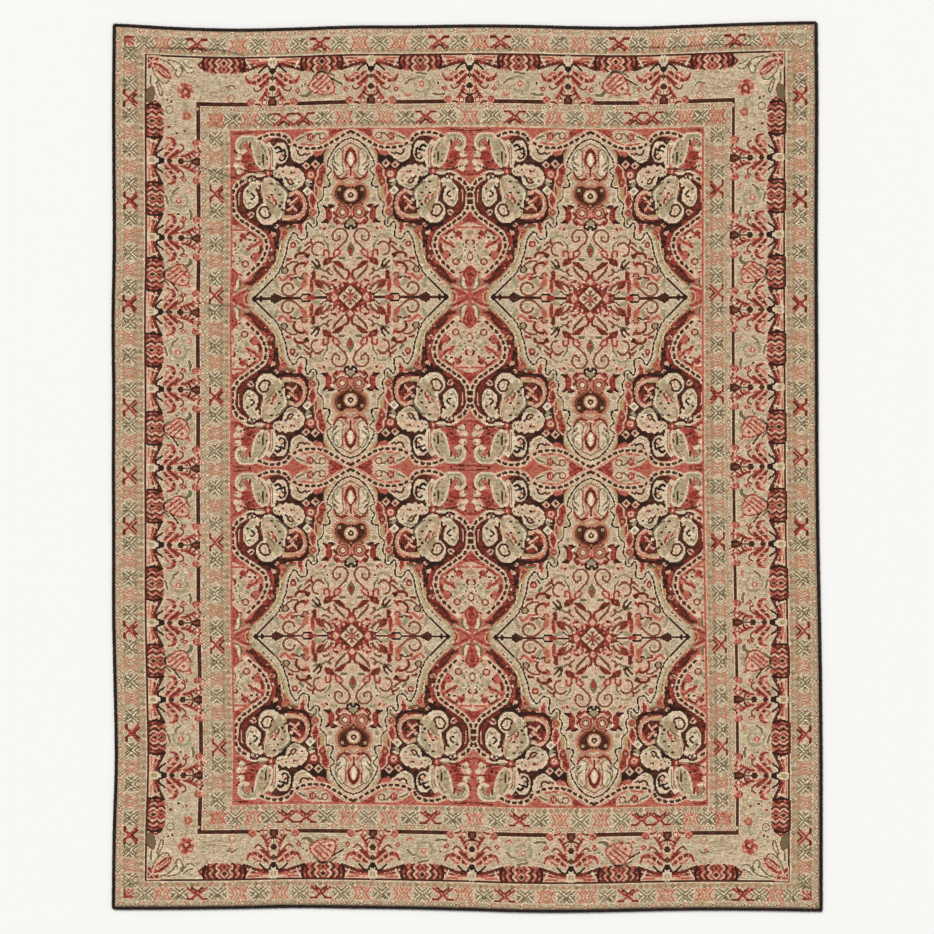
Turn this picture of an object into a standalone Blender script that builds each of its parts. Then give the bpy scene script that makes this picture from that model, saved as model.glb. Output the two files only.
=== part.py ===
"""A flat knotted rug with a narrow dark binding sewn round its edge.

Metres, +Z up. The rug lies flat on the plane z = 0, with its length along Y and its origin under its middle.
Its outline wanders by a centimetre or so, as a hand-knotted rug does, and a few soft creases stand out of it.
"""
import math
from collections import namedtuple

import bmesh
import bpy
from mathutils import Vector

# Driving sizes, in metres
WIDTH = 2.440
LENGTH = 3.050
CLOTH_THICKNESS = 0.006
BINDING_WIDTH = 0.0115
BINDING_THICKNESS = 0.0075
SEAM_GAP = 0.0003

# The cloth's faces: how many along each side, and how finely a crease is cut
CLOTH_COLUMNS = 36
CLOTH_ROWS = 44
CREASE_CUTS = 2
SHARP_CREASE_REACH = 0.060

# How far each edge strays outwards from its straight line, in millimetres, at each twelfth of its length.
# The two sides run from the foot (-Y) to the head (+Y), and the two ends from the left (-X) to the right (+X).
EDGE_WAVES_MM = {
    "left": (4, 1, -6, -2, 3, 3, 4, 3, 5, 1, 2, 3, 1),
    "right": (5, 5, 5, 3, -1, -6, -9, -10, -11, -12, -11, -10, -12),
    "foot": (0, 0, -2, -6, -4, -1, 4, 10, 10, 6, 3, 4, 7),
    "head": (2, -9, -15, -12, -5, -4, -1, -2, -7, -8, -1, 6, 10),
}

# Soft creases and swells of the cloth where it lies, in metres: where each starts and ends, how far it reaches
# to either side, and how high it stands.
Crease = namedtuple("Crease", "start end reach height")
CREASES = (
    Crease(start=(-1.100, 1.450), end=(-0.841, 1.450), reach=0.045, height=0.0045),
    Crease(start=(-0.841, 1.450), end=(-0.776, 1.425), reach=0.040, height=0.0035),
    Crease(start=(0.576, 1.454), end=(0.970, 1.446), reach=0.045, height=0.0040),
    Crease(start=(-0.905, 1.040), end=(-0.820, 1.014), reach=0.040, height=0.0040),
    Crease(start=(-0.865, 0.833), end=(-0.815, 0.829), reach=0.035, height=0.0020),
    Crease(start=(-1.116, 0.574), end=(-0.914, 0.555), reach=0.050, height=0.0045),
    Crease(start=(-0.914, 0.555), end=(-0.808, 0.561), reach=0.045, height=0.0035),
    Crease(start=(0.905, 0.829), end=(1.039, 0.918), reach=0.050, height=0.0040),
    Crease(start=(0.964, -1.145), end=(1.049, -1.204), reach=0.045, height=0.0040),
    Crease(start=(-0.950, 1.300), end=(-0.350, 1.380), reach=0.240, height=0.0030),
    Crease(start=(0.450, 1.340), end=(0.900, 1.250), reach=0.220, height=0.0025),
    Crease(start=(-1.020, 0.350), end=(-1.000, -0.450), reach=0.180, height=0.0025),
    Crease(start=(1.010, 0.250), end=(0.980, -0.700), reach=0.200, height=0.0030),
    Crease(start=(0.100, -1.330), end=(0.700, -1.300), reach=0.180, height=0.0030),
)

# The binding's section is part of an ellipse, cut flat underneath: its middle's share of the whole thickness
BINDING_MIDDLE_SHARE = 0.42
BINDING_ARC_STEPS = 6
BINDING_CORNER_STEPS = 3
BINDING_CORNER_ROUNDING = 0.8

# Edges of the mesh that bend more than this stay crisp
CRISP_ANGLE = math.radians(40)

MATERIAL_LOOKS = {
    "rug_cloth": ((0.42, 0.27, 0.20, 1.0), 0.95),
    "edge_binding": ((0.012, 0.006, 0.005, 1.0), 0.9),
}


def clear_scene():
    """Remove every object that the scene starts with."""
    for obj in list(bpy.data.objects):
        bpy.data.objects.remove(obj, do_unlink=True)


def make_material(name):
    """Return the plain finish of one kind of yarn."""
    colour, roughness = MATERIAL_LOOKS[name]
    material = bpy.data.materials.new(name)
    material.use_nodes = True
    shader = material.node_tree.nodes["Principled BSDF"]
    shader.inputs["Base Color"].default_value = colour
    shader.inputs["Roughness"].default_value = roughness
    shader.inputs["Metallic"].default_value = 0.0
    return material


def edge_wave(side, along):
    """Return an edge's stray in metres at a share of its length, on a smooth curve through its stations."""
    stations = EDGE_WAVES_MM[side]
    last = len(stations) - 1
    place = min(max(along, 0.0), 1.0) * last
    low = min(int(place), last - 1)
    t = place - low
    before = stations[max(low - 1, 0)]
    start = stations[low]
    end = stations[low + 1]
    after = stations[min(low + 2, last)]
    start_slope = (end - before) / 2
    end_slope = (after - start) / 2
    value = (
        (2 * t ** 3 - 3 * t ** 2 + 1) * start
        + (t ** 3 - 2 * t ** 2 + t) * start_slope
        + (3 * t ** 2 - 2 * t ** 3) * end
        + (t ** 3 - t ** 2) * end_slope
    )
    return value / 1000


def cloth_point(u, v):
    """Return the place in plan of a point of the cloth, u across from the left and v along from the foot."""
    half_width = WIDTH / 2 - BINDING_WIDTH - SEAM_GAP
    half_length = LENGTH / 2 - BINDING_WIDTH - SEAM_GAP
    left = -half_width - edge_wave("left", v)
    right = half_width + edge_wave("right", v)
    foot = -half_length - edge_wave("foot", u)
    head = half_length + edge_wave("head", u)
    return left + (right - left) * u, foot + (head - foot) * v


def distance_to_segment(x, y, start, end):
    """Return how far a point in plan lies from a straight stretch."""
    run = Vector(end) - Vector(start)
    step = Vector((x, y)) - Vector(start)
    share = min(max(step.dot(run) / run.length_squared, 0.0), 1.0)
    return (step - run * share).length


def crease_height(x, y):
    """Return how far the cloth stands off the floor at a point in plan."""
    height = 0.0
    for crease in CREASES:
        away = distance_to_segment(x, y, crease.start, crease.end)
        if away < crease.reach:
            height = max(height, crease.height * (1 + math.cos(math.pi * away / crease.reach)) / 2)
    return height


def new_object(name, bm, material):
    """Put a finished bmesh into the scene as one smooth-shaded object."""
    bmesh.ops.recalc_face_normals(bm, faces=bm.faces)
    mesh = bpy.data.meshes.new(name)
    bm.to_mesh(mesh)
    bm.free()
    mesh.materials.append(material)
    mesh.shade_smooth()
    mesh.set_sharp_from_angle(angle=CRISP_ANGLE)
    obj = bpy.data.objects.new(name, mesh)
    bpy.context.scene.collection.objects.link(obj)
    return obj


def near_sharp_crease(edge):
    """Say whether an edge of the grid comes near one of the narrow creases."""
    middle = (edge.verts[0].co + edge.verts[1].co) / 2
    for crease in CREASES:
        if crease.reach < SHARP_CREASE_REACH:
            away = distance_to_segment(middle.x, middle.y, crease.start, crease.end)
            if away < crease.reach:
                return True
    return False


def build_cloth(material):
    """Build the knotted sheet: a grid with the rug's outline, cut finer at the creases and given its thickness."""
    bm = bmesh.new()
    rows = []
    for row in range(CLOTH_ROWS + 1):
        line = []
        for column in range(CLOTH_COLUMNS + 1):
            x, y = cloth_point(column / CLOTH_COLUMNS, row / CLOTH_ROWS)
            line.append(bm.verts.new((x, y, 0.0)))
        rows.append(line)
    for row in range(CLOTH_ROWS):
        for column in range(CLOTH_COLUMNS):
            below, above = rows[row], rows[row + 1]
            bm.faces.new((below[column], below[column + 1], above[column + 1], above[column]))
    creased = [edge for edge in bm.edges if not edge.is_boundary and near_sharp_crease(edge)]
    bmesh.ops.subdivide_edges(bm, edges=creased, cuts=CREASE_CUTS, use_grid_fill=True)
    bmesh.ops.triangulate(bm, faces=bm.faces)
    for vert in bm.verts:
        vert.co.z = crease_height(vert.co.x, vert.co.y)
    raised = bmesh.ops.extrude_face_region(bm, geom=bm.faces, use_keep_orig=True)
    for item in raised["geom"]:
        if isinstance(item, bmesh.types.BMVert):
            item.co.z += CLOTH_THICKNESS
    return new_object("rug_cloth", bm, material)


def binding_section():
    """Return the binding's section as pairs of distance out from the cloth and height above the floor."""
    middle = BINDING_MIDDLE_SHARE * BINDING_THICKNESS
    rise = BINDING_THICKNESS - middle
    lowest = -math.asin(middle / rise)
    section = [(0.0, 0.0)]
    for step in range(BINDING_ARC_STEPS + 1):
        angle = math.pi / 2 + (lowest - math.pi / 2) * step / BINDING_ARC_STEPS
        section.append((BINDING_WIDTH * math.cos(angle), max(middle + rise * math.sin(angle), 0.0)))
    return section


def binding_stations(side):
    """Return the shares along an end or a side at which its binding is cut, the same as the cloth's own edge."""
    grid = CLOTH_ROWS if side in ("left", "right") else CLOTH_COLUMNS
    return [step / grid for step in range(grid + 1)]


def edge_point(side, along):
    """Return a point of the cloth's edge in plan, and the straight way out from it."""
    if side == "left":
        return Vector((*cloth_point(0.0, along), 0.0)), Vector((-1.0, 0.0, 0.0))
    if side == "right":
        return Vector((*cloth_point(1.0, along), 0.0)), Vector((1.0, 0.0, 0.0))
    if side == "foot":
        return Vector((*cloth_point(along, 0.0), 0.0)), Vector((0.0, -1.0, 0.0))
    return Vector((*cloth_point(along, 1.0), 0.0)), Vector((0.0, 1.0, 0.0))


def binding_path(side):
    """Return the binding's rings: a point on its inner edge, its way out, and the share of its full width there."""
    path = []
    for along in binding_stations(side):
        point, out = edge_point(side, along)
        path.append((point + out * SEAM_GAP, out, 1.0))
    if side in ("foot", "head"):
        reach = SEAM_GAP + BINDING_WIDTH
        left, out, _ = path[0]
        right, _, _ = path[-1]
        for step in range(1, BINDING_CORNER_STEPS + 1):
            share = step / BINDING_CORNER_STEPS
            width_share = math.sqrt(1 - (BINDING_CORNER_ROUNDING * share) ** 2)
            path.insert(0, (left + Vector((-reach * share, 0.0, 0.0)), out, width_share))
            path.append((right + Vector((reach * share, 0.0, 0.0)), out, width_share))
    return path


def build_binding(side, material):
    """Build the binding along one side: its section swept along the cloth's edge, closed at both ends."""
    bm = bmesh.new()
    section = binding_section()
    rings = []
    for point, out, width_share in binding_path(side):
        lift = crease_height(point.x, point.y)
        ring = []
        for away, height in section:
            place = point + out * (away * width_share)
            ring.append(bm.verts.new((place.x, place.y, lift + height)))
        rings.append(ring)
    count = len(section)
    for first, second in zip(rings, rings[1:]):
        for index in range(count):
            following = (index + 1) % count
            bm.faces.new((first[index], first[following], second[following], second[index]))
    bm.faces.new(rings[0])
    bm.faces.new(rings[-1])
    return new_object(f"binding_{side}", bm, material)


def centre_on_origin(objects):
    """Slide every mesh so that the middle of the rug's box is over the origin."""
    points = [vert.co for obj in objects for vert in obj.data.vertices]
    middle_x = (min(p.x for p in points) + max(p.x for p in points)) / 2
    middle_y = (min(p.y for p in points) + max(p.y for p in points)) / 2
    for obj in objects:
        for vert in obj.data.vertices:
            vert.co.x -= middle_x
            vert.co.y -= middle_y


def main():
    """Build the rug."""
    clear_scene()
    cloth_finish = make_material("rug_cloth")
    binding_finish = make_material("edge_binding")
    objects = [build_cloth(cloth_finish)]
    for side in EDGE_WAVES_MM:
        objects.append(build_binding(side, binding_finish))
    centre_on_origin(objects)


main()
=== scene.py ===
"""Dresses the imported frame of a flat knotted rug: its pile, its sewn edge binding and a plain studio."""

import logging
import math
from dataclasses import dataclass, field, replace
from enum import Enum, IntEnum
from typing import Any, Iterable, Sequence

import bmesh
import bpy
import numpy as np
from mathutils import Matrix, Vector

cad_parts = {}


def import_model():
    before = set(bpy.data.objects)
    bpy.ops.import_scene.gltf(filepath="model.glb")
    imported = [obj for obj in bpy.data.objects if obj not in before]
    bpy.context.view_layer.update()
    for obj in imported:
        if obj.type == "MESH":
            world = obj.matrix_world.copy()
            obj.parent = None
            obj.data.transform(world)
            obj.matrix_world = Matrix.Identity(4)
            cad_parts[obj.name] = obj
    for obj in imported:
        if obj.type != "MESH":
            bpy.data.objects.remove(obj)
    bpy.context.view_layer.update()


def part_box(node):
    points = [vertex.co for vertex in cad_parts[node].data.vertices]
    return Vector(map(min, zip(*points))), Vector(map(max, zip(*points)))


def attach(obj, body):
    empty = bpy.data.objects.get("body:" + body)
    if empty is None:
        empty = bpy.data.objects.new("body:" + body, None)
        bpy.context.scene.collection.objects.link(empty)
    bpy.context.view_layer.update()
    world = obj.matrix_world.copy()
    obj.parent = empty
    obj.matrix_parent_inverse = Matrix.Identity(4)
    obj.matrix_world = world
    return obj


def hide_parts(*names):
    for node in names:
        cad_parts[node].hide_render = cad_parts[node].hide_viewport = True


log = logging.getLogger("rug")

Point = tuple[float, float]
Stroke = tuple[Point, ...]
Triple = tuple[float, float, float]
Colour = tuple[float, float, float, float]
Window = tuple[slice, slice, np.ndarray, np.ndarray]
Node = bpy.types.Node
Socket = bpy.types.NodeSocket
Tree = bpy.types.NodeTree

MILLIMETRE = 0.001
HALF_KNOT = 0.5
LEAST_RUN = 1e-9


def linear(hex_colour: str) -> Colour:
    """Turn an sRGB hex colour into the linear colour that Blender's sockets hold.

    Args:
        hex_colour: Six hex digits after a hash sign.

    Returns:
        Linear red, green, blue and an alpha of one.
    """
    channels = []
    for start in (1, 3, 5):
        part = int(hex_colour[start:start + 2], 16) / 255
        channels.append(part / 12.92 if part <= 0.04045 else ((part + 0.055) / 1.055) ** 2.4)
    return (*channels, 1.0)


class Yarn(IntEnum):
    """The dyed wools that the rug is knotted from."""

    CREAM = 0
    BEIGE = 1
    SAND = 2
    PINK = 3
    SALMON = 4
    ROSE = 5
    RED = 6
    MAROON = 7
    RUST = 8
    BROWN = 9
    BLACK = 10
    SAGE = 11
    OLIVE = 12
    GOLD = 13
    BLUSH = 14
    WHITE = 15
    MOSS = 16


# The yarns' short names, as a weaver calls them out.
(
    CREAM, BEIGE, SAND, PINK, SALMON, ROSE, RED, MAROON, RUST, BROWN, BLACK, SAGE,
    OLIVE, GOLD, BLUSH, WHITE, MOSS,
) = Yarn

YARN_COLOURS: dict[Yarn, str] = {
    CREAM: "#D9C0A1",
    BEIGE: "#C2B093",
    SAND: "#A48B6B",
    PINK: "#D5A58A",
    SALMON: "#B8795D",
    ROSE: "#B05A4A",
    RED: "#95362D",
    MAROON: "#67271B",
    RUST: "#80452F",
    BROWN: "#4B2716",
    BLACK: "#2C140B",
    SAGE: "#9B8E6D",
    OLIVE: "#6F6348",
    GOLD: "#AE9468",
    BLUSH: "#CAB095",
    WHITE: "#E8D6BE",
    MOSS: "#AFA07F",
}


def smooth_path(points: Sequence[Point], closed: bool = False, steps: int = 6) -> np.ndarray:
    """Lay a smooth curve through points.

    Args:
        points: The places that the curve passes, of two numbers or more each.
        closed: Whether the curve returns to its start.
        steps: How many short runs each stretch is cut into.

    Returns:
        The curve's points as rows.
    """
    given = np.asarray(points, dtype=float)
    if len(given) < 3:
        shares = np.linspace(0.0, 1.0, steps + 1)[:, None]
        return given[0] + (given[-1] - given[0]) * shares
    if closed:
        around = np.vstack([given[-1], given, given[0], given[1]])
    else:
        around = np.vstack([2 * given[0] - given[1], given, 2 * given[-1] - given[-2]])
    t = (np.arange(steps) / steps)[:, None]
    runs = []
    for before, start, end, after in zip(around, around[1:], around[2:], around[3:]):
        runs.append(0.5 * (
            2 * start
            + (end - before) * t
            + (2 * before - 5 * start + 4 * end - after) * t ** 2
            + (3 * start - before - 3 * end + after) * t ** 3
        ))
    if not closed:
        runs.append(given[-1:])
    return np.vstack(runs)


@dataclass
class Chart:
    """A knot plan, as a weaver draws it: the yarn of every knot, across and down from the top left.

    A speckle's run shares say how much each knot takes from its neighbours to the left, nearest first.
    """

    columns: int
    rows: int
    ground: Yarn = BEIGE
    run_shares: tuple[float, ...] = (0.9, 0.5)
    knots: np.ndarray = field(init=False)

    def __post_init__(self) -> None:
        """Fill the plan with its ground yarn."""
        self.knots = np.full((self.rows, self.columns), int(self.ground), dtype=np.int8)

    def window(self, low: np.ndarray, high: np.ndarray) -> Window | None:
        """Find the knots in a box.

        Args:
            low: The box's least place across and down.
            high: Its greatest place.

        Returns:
            The rows, the columns and the knots' middles across and down, or None outside the plan.
        """
        first = np.maximum(np.floor(low).astype(int), 0)
        last = np.minimum(np.ceil(high).astype(int) + 1, (self.columns, self.rows))
        if (first >= last).any():
            return None
        across = np.arange(first[0], last[0]) + HALF_KNOT
        down = np.arange(first[1], last[1])[:, None] + HALF_KNOT
        return slice(first[1], last[1]), slice(first[0], last[0]), across, down

    def outline(self, shapes: Sequence[Yarn], ground: Yarn, rim: Yarn) -> None:
        """Knot a rim in the ground, one knot wide, round everything that lies on it in some yarns.

        Args:
            shapes: The yarns that get the rim.
            ground: The yarn that gives way.
            rim: The rim's yarn.
        """
        found = np.pad(np.isin(self.knots, [int(yarn) for yarn in shapes]), 1)
        near = found[:-2, 1:-1] | found[2:, 1:-1] | found[1:-1, :-2] | found[1:-1, 2:]
        self.knots[near & (self.knots == int(ground))] = int(rim)

    def speckle(self, ground: Yarn, others: Sequence[tuple[Yarn, float]], rng: np.random.Generator) -> None:
        """Scatter knots of other yarns over a ground in short runs along the rows, as uneven dye shows.

        Args:
            ground: The yarn that gives way.
            others: Each other yarn, and the share of the ground that it takes.
            rng: The generator of the scatter.
        """
        noise = rng.normal(size=self.knots.shape)
        level = noise
        for step, share in enumerate(self.run_shares, start=1):
            level = level + share * np.roll(noise, step, axis=1)
        plain = self.knots == int(ground)
        limits = np.quantile(level, np.cumsum([0.0] + [share for _, share in others]))
        for (yarn, _), low, high in zip(others, limits, limits[1:]):
            self.knots[plain & (level >= low) & (level < high)] = int(yarn)


@dataclass
class Pen:
    """Draws on a plan in a frame of its own, so that a motif can be turned and mirrored to many places."""

    chart: Chart
    origin: Point = (0.0, 0.0)
    along: Point = (1.0, 0.0)
    inward: Point = (0.0, 1.0)

    def mirrored(self) -> "Pen":
        """Return a pen at the same place whose first axis runs backwards."""
        return replace(self, along=(-self.along[0], -self.along[1]))

    def placed(self, points: np.ndarray) -> np.ndarray:
        """Turn places in the pen's frame into places on the plan."""
        first = np.asarray(self.origin) + points[:, :1] * np.asarray(self.along)
        return first + points[:, 1:2] * np.asarray(self.inward)

    def fill(self, outline: np.ndarray, yarn: Yarn) -> None:
        """Knot the inside of a closed outline in one yarn.

        Args:
            outline: The outline's corners, as rows of places.
            yarn: What its inside is knotted in.
        """
        places = self.placed(outline)
        found = self.chart.window(places.min(axis=0), places.max(axis=0))
        if found is None:
            return
        rows, columns, across, down = found
        inside = np.zeros((down.size, across.size), dtype=bool)
        for (x1, y1), (x2, y2) in zip(places, np.roll(places, -1, axis=0)):
            if y1 == y2:
                continue
            level = (y1 <= down) != (y2 <= down)
            inside ^= level & (across < x1 + (down - y1) * (x2 - x1) / (y2 - y1))
        self.chart.knots[rows, columns][inside] = int(yarn)

    def sweep(self, path: np.ndarray, widths: np.ndarray | float, yarn: Yarn) -> None:
        """Knot a band that follows a path.

        Args:
            path: The band's middle, as rows of places.
            widths: The band's whole width in knots, one for all or one for each place.
            yarn: What it is knotted in.
        """
        places = self.placed(path)
        widths = np.broadcast_to(widths, len(places))
        for start, end, width, end_width in zip(places, places[1:], widths, widths[1:]):
            reach = max(width, end_width) / 2 + HALF_KNOT
            found = self.chart.window(np.minimum(start, end) - reach, np.maximum(start, end) + reach)
            if found is None:
                continue
            rows, columns, across, down = found
            run = end - start
            length = max(float(run @ run), LEAST_RUN)
            share = np.clip(((across - start[0]) * run[0] + (down - start[1]) * run[1]) / length, 0.0, 1.0)
            away = np.hypot(across - start[0] - share * run[0], down - start[1] - share * run[1])
            inside = away <= (width + (end_width - width) * share) / 2
            self.chart.knots[rows, columns][inside] = int(yarn)


class Motif:
    """One figure of the pattern."""

    def draw(self, pen: Pen) -> None:
        """Draw the figure with a pen."""
        raise NotImplementedError


Figures = tuple[Motif, ...]


def draw_all(figures: Sequence[Motif], *pens: Pen) -> None:
    """Draw figures one after another, all of them with each pen."""
    for pen in pens:
        for figure in figures:
            figure.draw(pen)


@dataclass(frozen=True)
class Patch(Motif):
    """A filled area with an outline that is smooth unless it says otherwise."""

    outline: Stroke
    fill: Yarn
    rim: Yarn | None = None
    rim_width: float = 1.3
    straight: bool = False

    def draw(self, pen: Pen) -> None:
        """Fill the area, then run its rim round it.

        Args:
            pen: The pen that draws it.
        """
        corners = np.asarray(self.outline, dtype=float)
        edge = corners if self.straight else smooth_path(self.outline, closed=True)
        pen.fill(edge, self.fill)
        if self.rim is not None:
            pen.sweep(np.vstack([edge, edge[:1]]), self.rim_width, self.rim)


@dataclass(frozen=True)
class Line(Motif):
    """A drawn line, plain or broken into dashes."""

    path: Stroke
    yarn: Yarn
    width: float = 1.2
    dash: float = 0.0
    gap: float = 0.0
    closed: bool = False
    dash_points: int = 4

    def draw(self, pen: Pen) -> None:
        """Run the line, or each of its dashes.

        Args:
            pen: The pen that draws it.
        """
        places = smooth_path(self.path, closed=self.closed)
        if self.closed:
            places = np.vstack([places, places[:1]])
        if not self.dash:
            pen.sweep(places, self.width, self.yarn)
            return
        lengths = np.concatenate([[0.0], np.cumsum(np.hypot(*np.diff(places, axis=0).T))])
        start = self.gap / 2
        while start + self.dash <= lengths[-1]:
            marks = np.linspace(start, start + self.dash, self.dash_points)
            stretch = np.column_stack([np.interp(marks, lengths, axis) for axis in places.T])
            pen.sweep(stretch, self.width, self.yarn)
            start += self.dash + self.gap


@dataclass(frozen=True)
class Ribbon(Motif):
    """The beaded ribbon that runs through the field: a light band with coloured edges and dark beads."""

    path: Stroke
    width: float = 6.4
    edge_width: float = 1.2
    bead_width: float = 3.1
    bead_length: float = 2.3
    bead_gap: float = 4.2

    def draw(self, pen: Pen) -> None:
        """Lay the edges, the band and the beads on one another.

        Args:
            pen: The pen that draws it.
        """
        draw_all((
            Line(self.path, PINK, self.width),
            Line(self.path, CREAM, self.width - 2 * self.edge_width),
            Line(self.path, BROWN, self.bead_width, self.bead_length, self.bead_gap),
        ), pen)


@dataclass(frozen=True)
class Horn(Motif):
    """A shape swept along a curved spine that swells and tapers: a leaf, a petal or a bud.

    The spine's rows hold a place across, a place down and the whole width there.
    """

    spine: tuple[Triple, ...]
    fill: Yarn
    rim: Yarn | None = None
    rim_width: float = 1.3
    steps: int = 8
    least_width: float = 0.4

    def draw(self, pen: Pen) -> None:
        """Sweep the rim, then the fill inside it.

        Args:
            pen: The pen that draws it.
        """
        places = smooth_path(self.spine, steps=self.steps)
        widths = np.maximum(places[:, 2], self.least_width)
        if self.rim is not None:
            pen.sweep(places[:, :2], widths + 2 * self.rim_width, self.rim)
        pen.sweep(places[:, :2], widths, self.fill)


@dataclass(frozen=True)
class Bead(Motif):
    """A round dot, with a ring round it where it has a rim."""

    centre: Point
    reach: float
    fill: Yarn
    rim: Yarn | None = None
    rim_width: float = 1.2

    def draw(self, pen: Pen) -> None:
        """Set the ring and then the dot.

        Args:
            pen: The pen that draws it.
        """
        spot = np.asarray([self.centre, self.centre], dtype=float)
        if self.rim is not None:
            pen.sweep(spot, 2 * (self.reach + self.rim_width), self.rim)
        pen.sweep(spot, 2 * self.reach, self.fill)


@dataclass(frozen=True)
class Seeds(Motif):
    """Several small round spots of one yarn and one size."""

    places: Stroke
    yarn: Yarn
    reach: float

    def draw(self, pen: Pen) -> None:
        """Set a bead at each place."""
        draw_all([Bead(place, self.reach, self.yarn) for place in self.places], pen)


@dataclass(frozen=True)
class Lozenge(Motif):
    """An upright diamond, nested in a rim where it has one."""

    centre: Point
    reach: Point
    fill: Yarn
    rim: Yarn | None = None
    rim_width: float = 1.4

    def draw(self, pen: Pen) -> None:
        """Fill the rim's diamond and then the inner one.

        Args:
            pen: The pen that draws it.
        """
        corners = np.array([(-1.0, 0.0), (0.0, -1.0), (1.0, 0.0), (0.0, 1.0)])
        centre, reach = np.asarray(self.centre), np.asarray(self.reach)
        if self.rim is not None:
            pen.fill(centre + corners * (reach + self.rim_width), self.rim)
        pen.fill(centre + corners * reach, self.fill)


@dataclass(frozen=True)
class Bloom(Motif):
    """A small flower seen from above: rimmed petals round a heart."""

    centre: Point
    reach: float
    petal: Yarn
    heart: Yarn
    rim: Yarn
    petals: int = 5
    turn: float = 0.0
    rim_width: float = 1.1
    petal_share: float = 0.95
    heart_share: float = 0.36

    def draw(self, pen: Pen) -> None:
        """Set the petals' rims round the middle, then the petals, and the heart on top.

        Args:
            pen: The pen that draws it.
        """
        size = self.reach * math.sin(math.pi / self.petals) * self.petal_share
        away = self.reach - size
        places = []
        for index in range(self.petals):
            angle = math.radians(self.turn) + 2 * math.pi * index / self.petals
            across, down = away * math.cos(angle), away * math.sin(angle)
            places.append((self.centre[0] + across, self.centre[1] + down))
        draw_all((
            Seeds(tuple(places), self.rim, size + self.rim_width),
            Seeds(tuple(places), self.petal, size),
            Bead(self.centre, self.reach * self.heart_share, self.heart),
        ), pen)


@dataclass(frozen=True)
class Bands:
    """How deep each band of the border ends, counted in knots from one edge of the cloth."""

    guard: float
    outer_line: float
    main: float
    inner_line: float
    inner_guard: float
    field: float


class Side(Enum):
    """The four sides of the rug as its plan shows them: name, way along and way inward."""

    LEFT = ("left", (0.0, 1.0), (1.0, 0.0))
    RIGHT = ("right", (0.0, 1.0), (-1.0, 0.0))
    HEAD = ("head", (1.0, 0.0), (0.0, 1.0))
    FOOT = ("foot", (1.0, 0.0), (0.0, -1.0))

    @property
    def label(self) -> str:
        """The side's name, as the pieces carry it."""
        return self.value[0]

    @property
    def along(self) -> Point:
        """The way along the side, right or down the plan."""
        return self.value[1]

    @property
    def inward(self) -> Point:
        """The way from the side into the rug, on the plan."""
        return self.value[2]

    @property
    def outward(self) -> Point:
        """The way out of the rug on the floor, where the second axis points to the head."""
        return -self.inward[0], self.inward[1]

    @property
    def upright(self) -> bool:
        """Whether this is one of the two long sides."""
        return self in (Side.LEFT, Side.RIGHT)


BANDS: dict[Side, Bands] = {
    Side.LEFT: Bands(
        guard=30.5, outer_line=32.5, main=82.0, inner_line=86.0, inner_guard=116.5, field=118.0),
    Side.RIGHT: Bands(
        guard=30.0, outer_line=31.5, main=81.0, inner_line=84.5, inner_guard=112.0, field=113.5),
    Side.HEAD: Bands(
        guard=26.0, outer_line=28.0, main=72.0, inner_line=76.0, inner_guard=99.5, field=101.0),
    Side.FOOT: Bands(
        guard=26.0, outer_line=28.0, main=73.0, inner_line=77.0, inner_guard=102.5, field=104.0),
}

# The yarns of a guard's smaller crosses: G grey-green, S soft red.
CROSS_LETTERS: dict[str, Yarn] = {"G": OLIVE, "S": ROSE}


@dataclass(frozen=True)
class GuardRow:
    """The order of a guard's crosses along one side, with the smaller ones as letters.

    Red crosses stand at the stops between the first and the last. Each group is spread between two stops.
    """

    depth: float
    stops: tuple[float, ...]
    groups: tuple[str, ...]

    def crosses(self) -> Iterable[tuple[float, Yarn]]:
        """Find the place and the yarn of every cross.

        Returns:
            The crosses, with the red ones last.
        """
        for start, end, group in zip(self.stops, self.stops[1:], self.groups):
            for number, letter in enumerate(group, start=1):
                yield start + (end - start) * number / (len(group) + 1), CROSS_LETTERS[letter]
        for stop in self.stops[1:-1]:
            yield stop, RED


OUTER_GUARDS: dict[Side, GuardRow] = {
    Side.HEAD: GuardRow(14.5, (12.5, 82.4, 206.0, 325.8, 387.6, 507.0, 623.4, 692.0),
                        ("GSG", "GSGSG", "GSGSG", "GS", "GSGSG", "GSGSG", "GSG")),
    Side.FOOT: GuardRow(13.0, (13.0, 82.4, 206.0, 327.8, 389.6, 512.4, 627.0, 692.0),
                        ("GSG", "GSGSG", "GSGSG", "SG", "GSGSG", "GSGSG", "GSG")),
    Side.LEFT: GuardRow(15.0, (12.0, 71.3, 174.0, 277.0, 380.6, 448.6, 499.4, 602.7, 706.0, 808.0, 868.0),
                        ("GSG", "GSGSG", "GSGSG", "GSGSG", "GSG", "SG", "GSGSG", "GSGSG", "GSGSG", "GSG")),
    Side.RIGHT: GuardRow(15.0, (12.0, 71.7, 174.0, 278.0, 381.0, 430.6, 500.0, 603.4, 706.7, 808.4, 868.0),
                         ("SSG", "GSGSG", "GSGSG", "GSGSG", "GS", "GSG", "GSGSG", "GSGSG", "GSGSG", "GSG")),
}

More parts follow.
